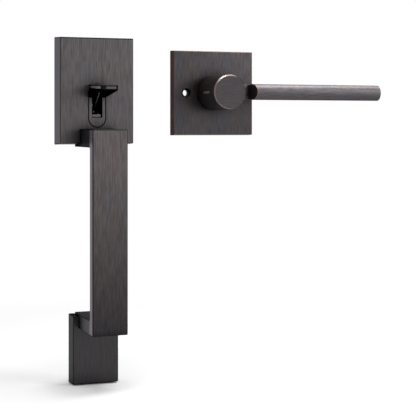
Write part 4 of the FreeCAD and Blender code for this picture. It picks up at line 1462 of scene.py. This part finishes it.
@dataclass(frozen=True)
class Studio:
    """Pale floor, even room light, two softboxes and the camera. Lengths are metres.

    Attributes:
        lamps: the softboxes.
        room_light: how bright the room is from straight below, 0, to straight above, 1.
        floor_half: half of the floor's width.
        floor_gap: distance from the set's lowest point down to the floor.
        floor_tone: the floor's grey.
        fade_start: distance from the origin at which the floor starts to turn white.
        fade_end: distance at which it is white.
        lens: the camera's focal length, in millimetres.
        shift: its shift upwards.
        camera_place: where it stands.
        camera_turn: its turn from straight ahead, in degrees.
    """

    lamps: tuple[Softbox, ...] = (
        Softbox("top_softbox", (0.20, -0.13, 0.62), (0.14, -0.04, 0.0), 1.0, 0.24, 7.0),
        Softbox("side_fill", (1.30, -1.1, 0.50), (0.12, 0.0, 0.02), 0.6, 0.6, 10.0))
    room_light: tuple[tuple[float, float], ...] = (
        (0.0, 0.08), (0.40, 0.10), (0.435, 0.30), (0.465, 1.0), (0.5, 1.05), (0.66, 0.95), (0.85, 0.6),
        (1.0, 0.3))
    floor_half: float = 0.9
    floor_gap: float = 0.0005
    floor_tone: float = 0.8
    fade_start: float = 0.34
    fade_end: float = 0.50
    lens: float = 103.85
    shift: float = -0.1973
    camera_place: Point = (-0.2376, -0.9180, -0.0273)
    camera_turn: float = -20.04

    def build(self) -> None:
        """Make the room, the floor, the lamps and the camera."""
        self.room()
        self.floor()
        for lamp in self.lamps:
            lamp.build()
        self.camera()

    def room(self) -> None:
        """World that is white where it shows, also in the metal, and soft grey where it lights the set."""
        world = bpy.data.worlds.new("room")
        bpy.context.scene.world = world
        world.use_nodes = True
        bench = Bench(world.node_tree)
        height = bench.parts(bench.add("TexCoord").outputs["Generated"])["Z"]
        ramp = bench.add("ValToRGB")
        bench.feed(ramp.inputs[0], bench.spread(height, -1.0, 1.0))
        stops = ramp.color_ramp.elements
        while len(stops) < len(self.room_light):
            stops.new(0.5)
        for stop, (where, level) in zip(stops, self.room_light):
            stop.position = where
            stop.color = (level, level, level, 1.0)
        soft = bench.add("Background")
        bench.feed(soft.inputs["Color"], ramp.outputs[0])
        white = bench.add("Background")
        bench.feed(white.inputs["Color"], (1.0, 1.0, 1.0, 1.0))
        shown = bench.either(bench.showing(), soft.outputs[0], white.outputs[0])
        bench.feed(bench.add("OutputWorld").inputs[0], shown)

    def floor(self) -> None:
        """Plain pale floor under the set, which fades into the white away from its shadow."""
        size, level = self.floor_half, CAD_BOX[0].z - self.floor_gap
        mesh = bpy.data.meshes.new("floor")
        corners = [(x * size, y * size, level) for x, y in ((-1, -1), (1, -1), (1, 1), (-1, 1))]
        mesh.from_pydata(corners, [], [(0, 1, 2, 3)])
        item = bpy.data.objects.new("floor", mesh)
        bpy.context.scene.collection.objects.link(item)
        material = bpy.data.materials.new("floor")
        material.use_nodes = True
        bench = Bench(material.node_tree)
        matt = bench.add("BsdfDiffuse")
        bench.feed(matt.inputs["Color"], (self.floor_tone, self.floor_tone, self.floor_tone, 1.0))
        reach = bench.add("VectorMath", operation="LENGTH")
        bench.feed(reach.inputs[0], bench.add("TexCoord").outputs["Object"])
        far = bench.spread(reach.outputs["Value"], self.fade_start, self.fade_end)
        share = bench.math("MULTIPLY", bench.showing(), far)
        shown = bench.either(share, matt.outputs[0], bench.add("Emission").outputs[0])
        bench.feed(bench.add("OutputMaterial").inputs[0], shown)
        mesh.materials.append(material)

    def camera(self) -> None:
        """Long lens, level, a little left of the set."""
        data = bpy.data.cameras.new("camera")
        data.lens, data.sensor_width = self.lens, 36.0
        data.shift_y = self.shift
        data.clip_start, data.clip_end = 0.05, 50.0
        item = bpy.data.objects.new("camera", data)
        item.location = self.camera_place
        item.rotation_euler = (math.radians(90.0), 0.0, math.radians(self.camera_turn))
        bpy.context.scene.collection.objects.link(item)
        bpy.context.scene.camera = item


def main() -> None:
    """Build the sub-assemblies from the outside of the door to the inside, then light them."""
    logging.basicConfig(level=logging.INFO, format="%(message)s")
    shop = Workshop()
    for group in (Escutcheon(), ThumbWorks(), CrankWorks(), Grip(), Foot(), Rose(), LeverWorks()):
        group.build(shop)
    Studio().build()
    bpy.context.scene.view_settings.view_transform = "Standard"


if __name__ == "__main__":
    main()
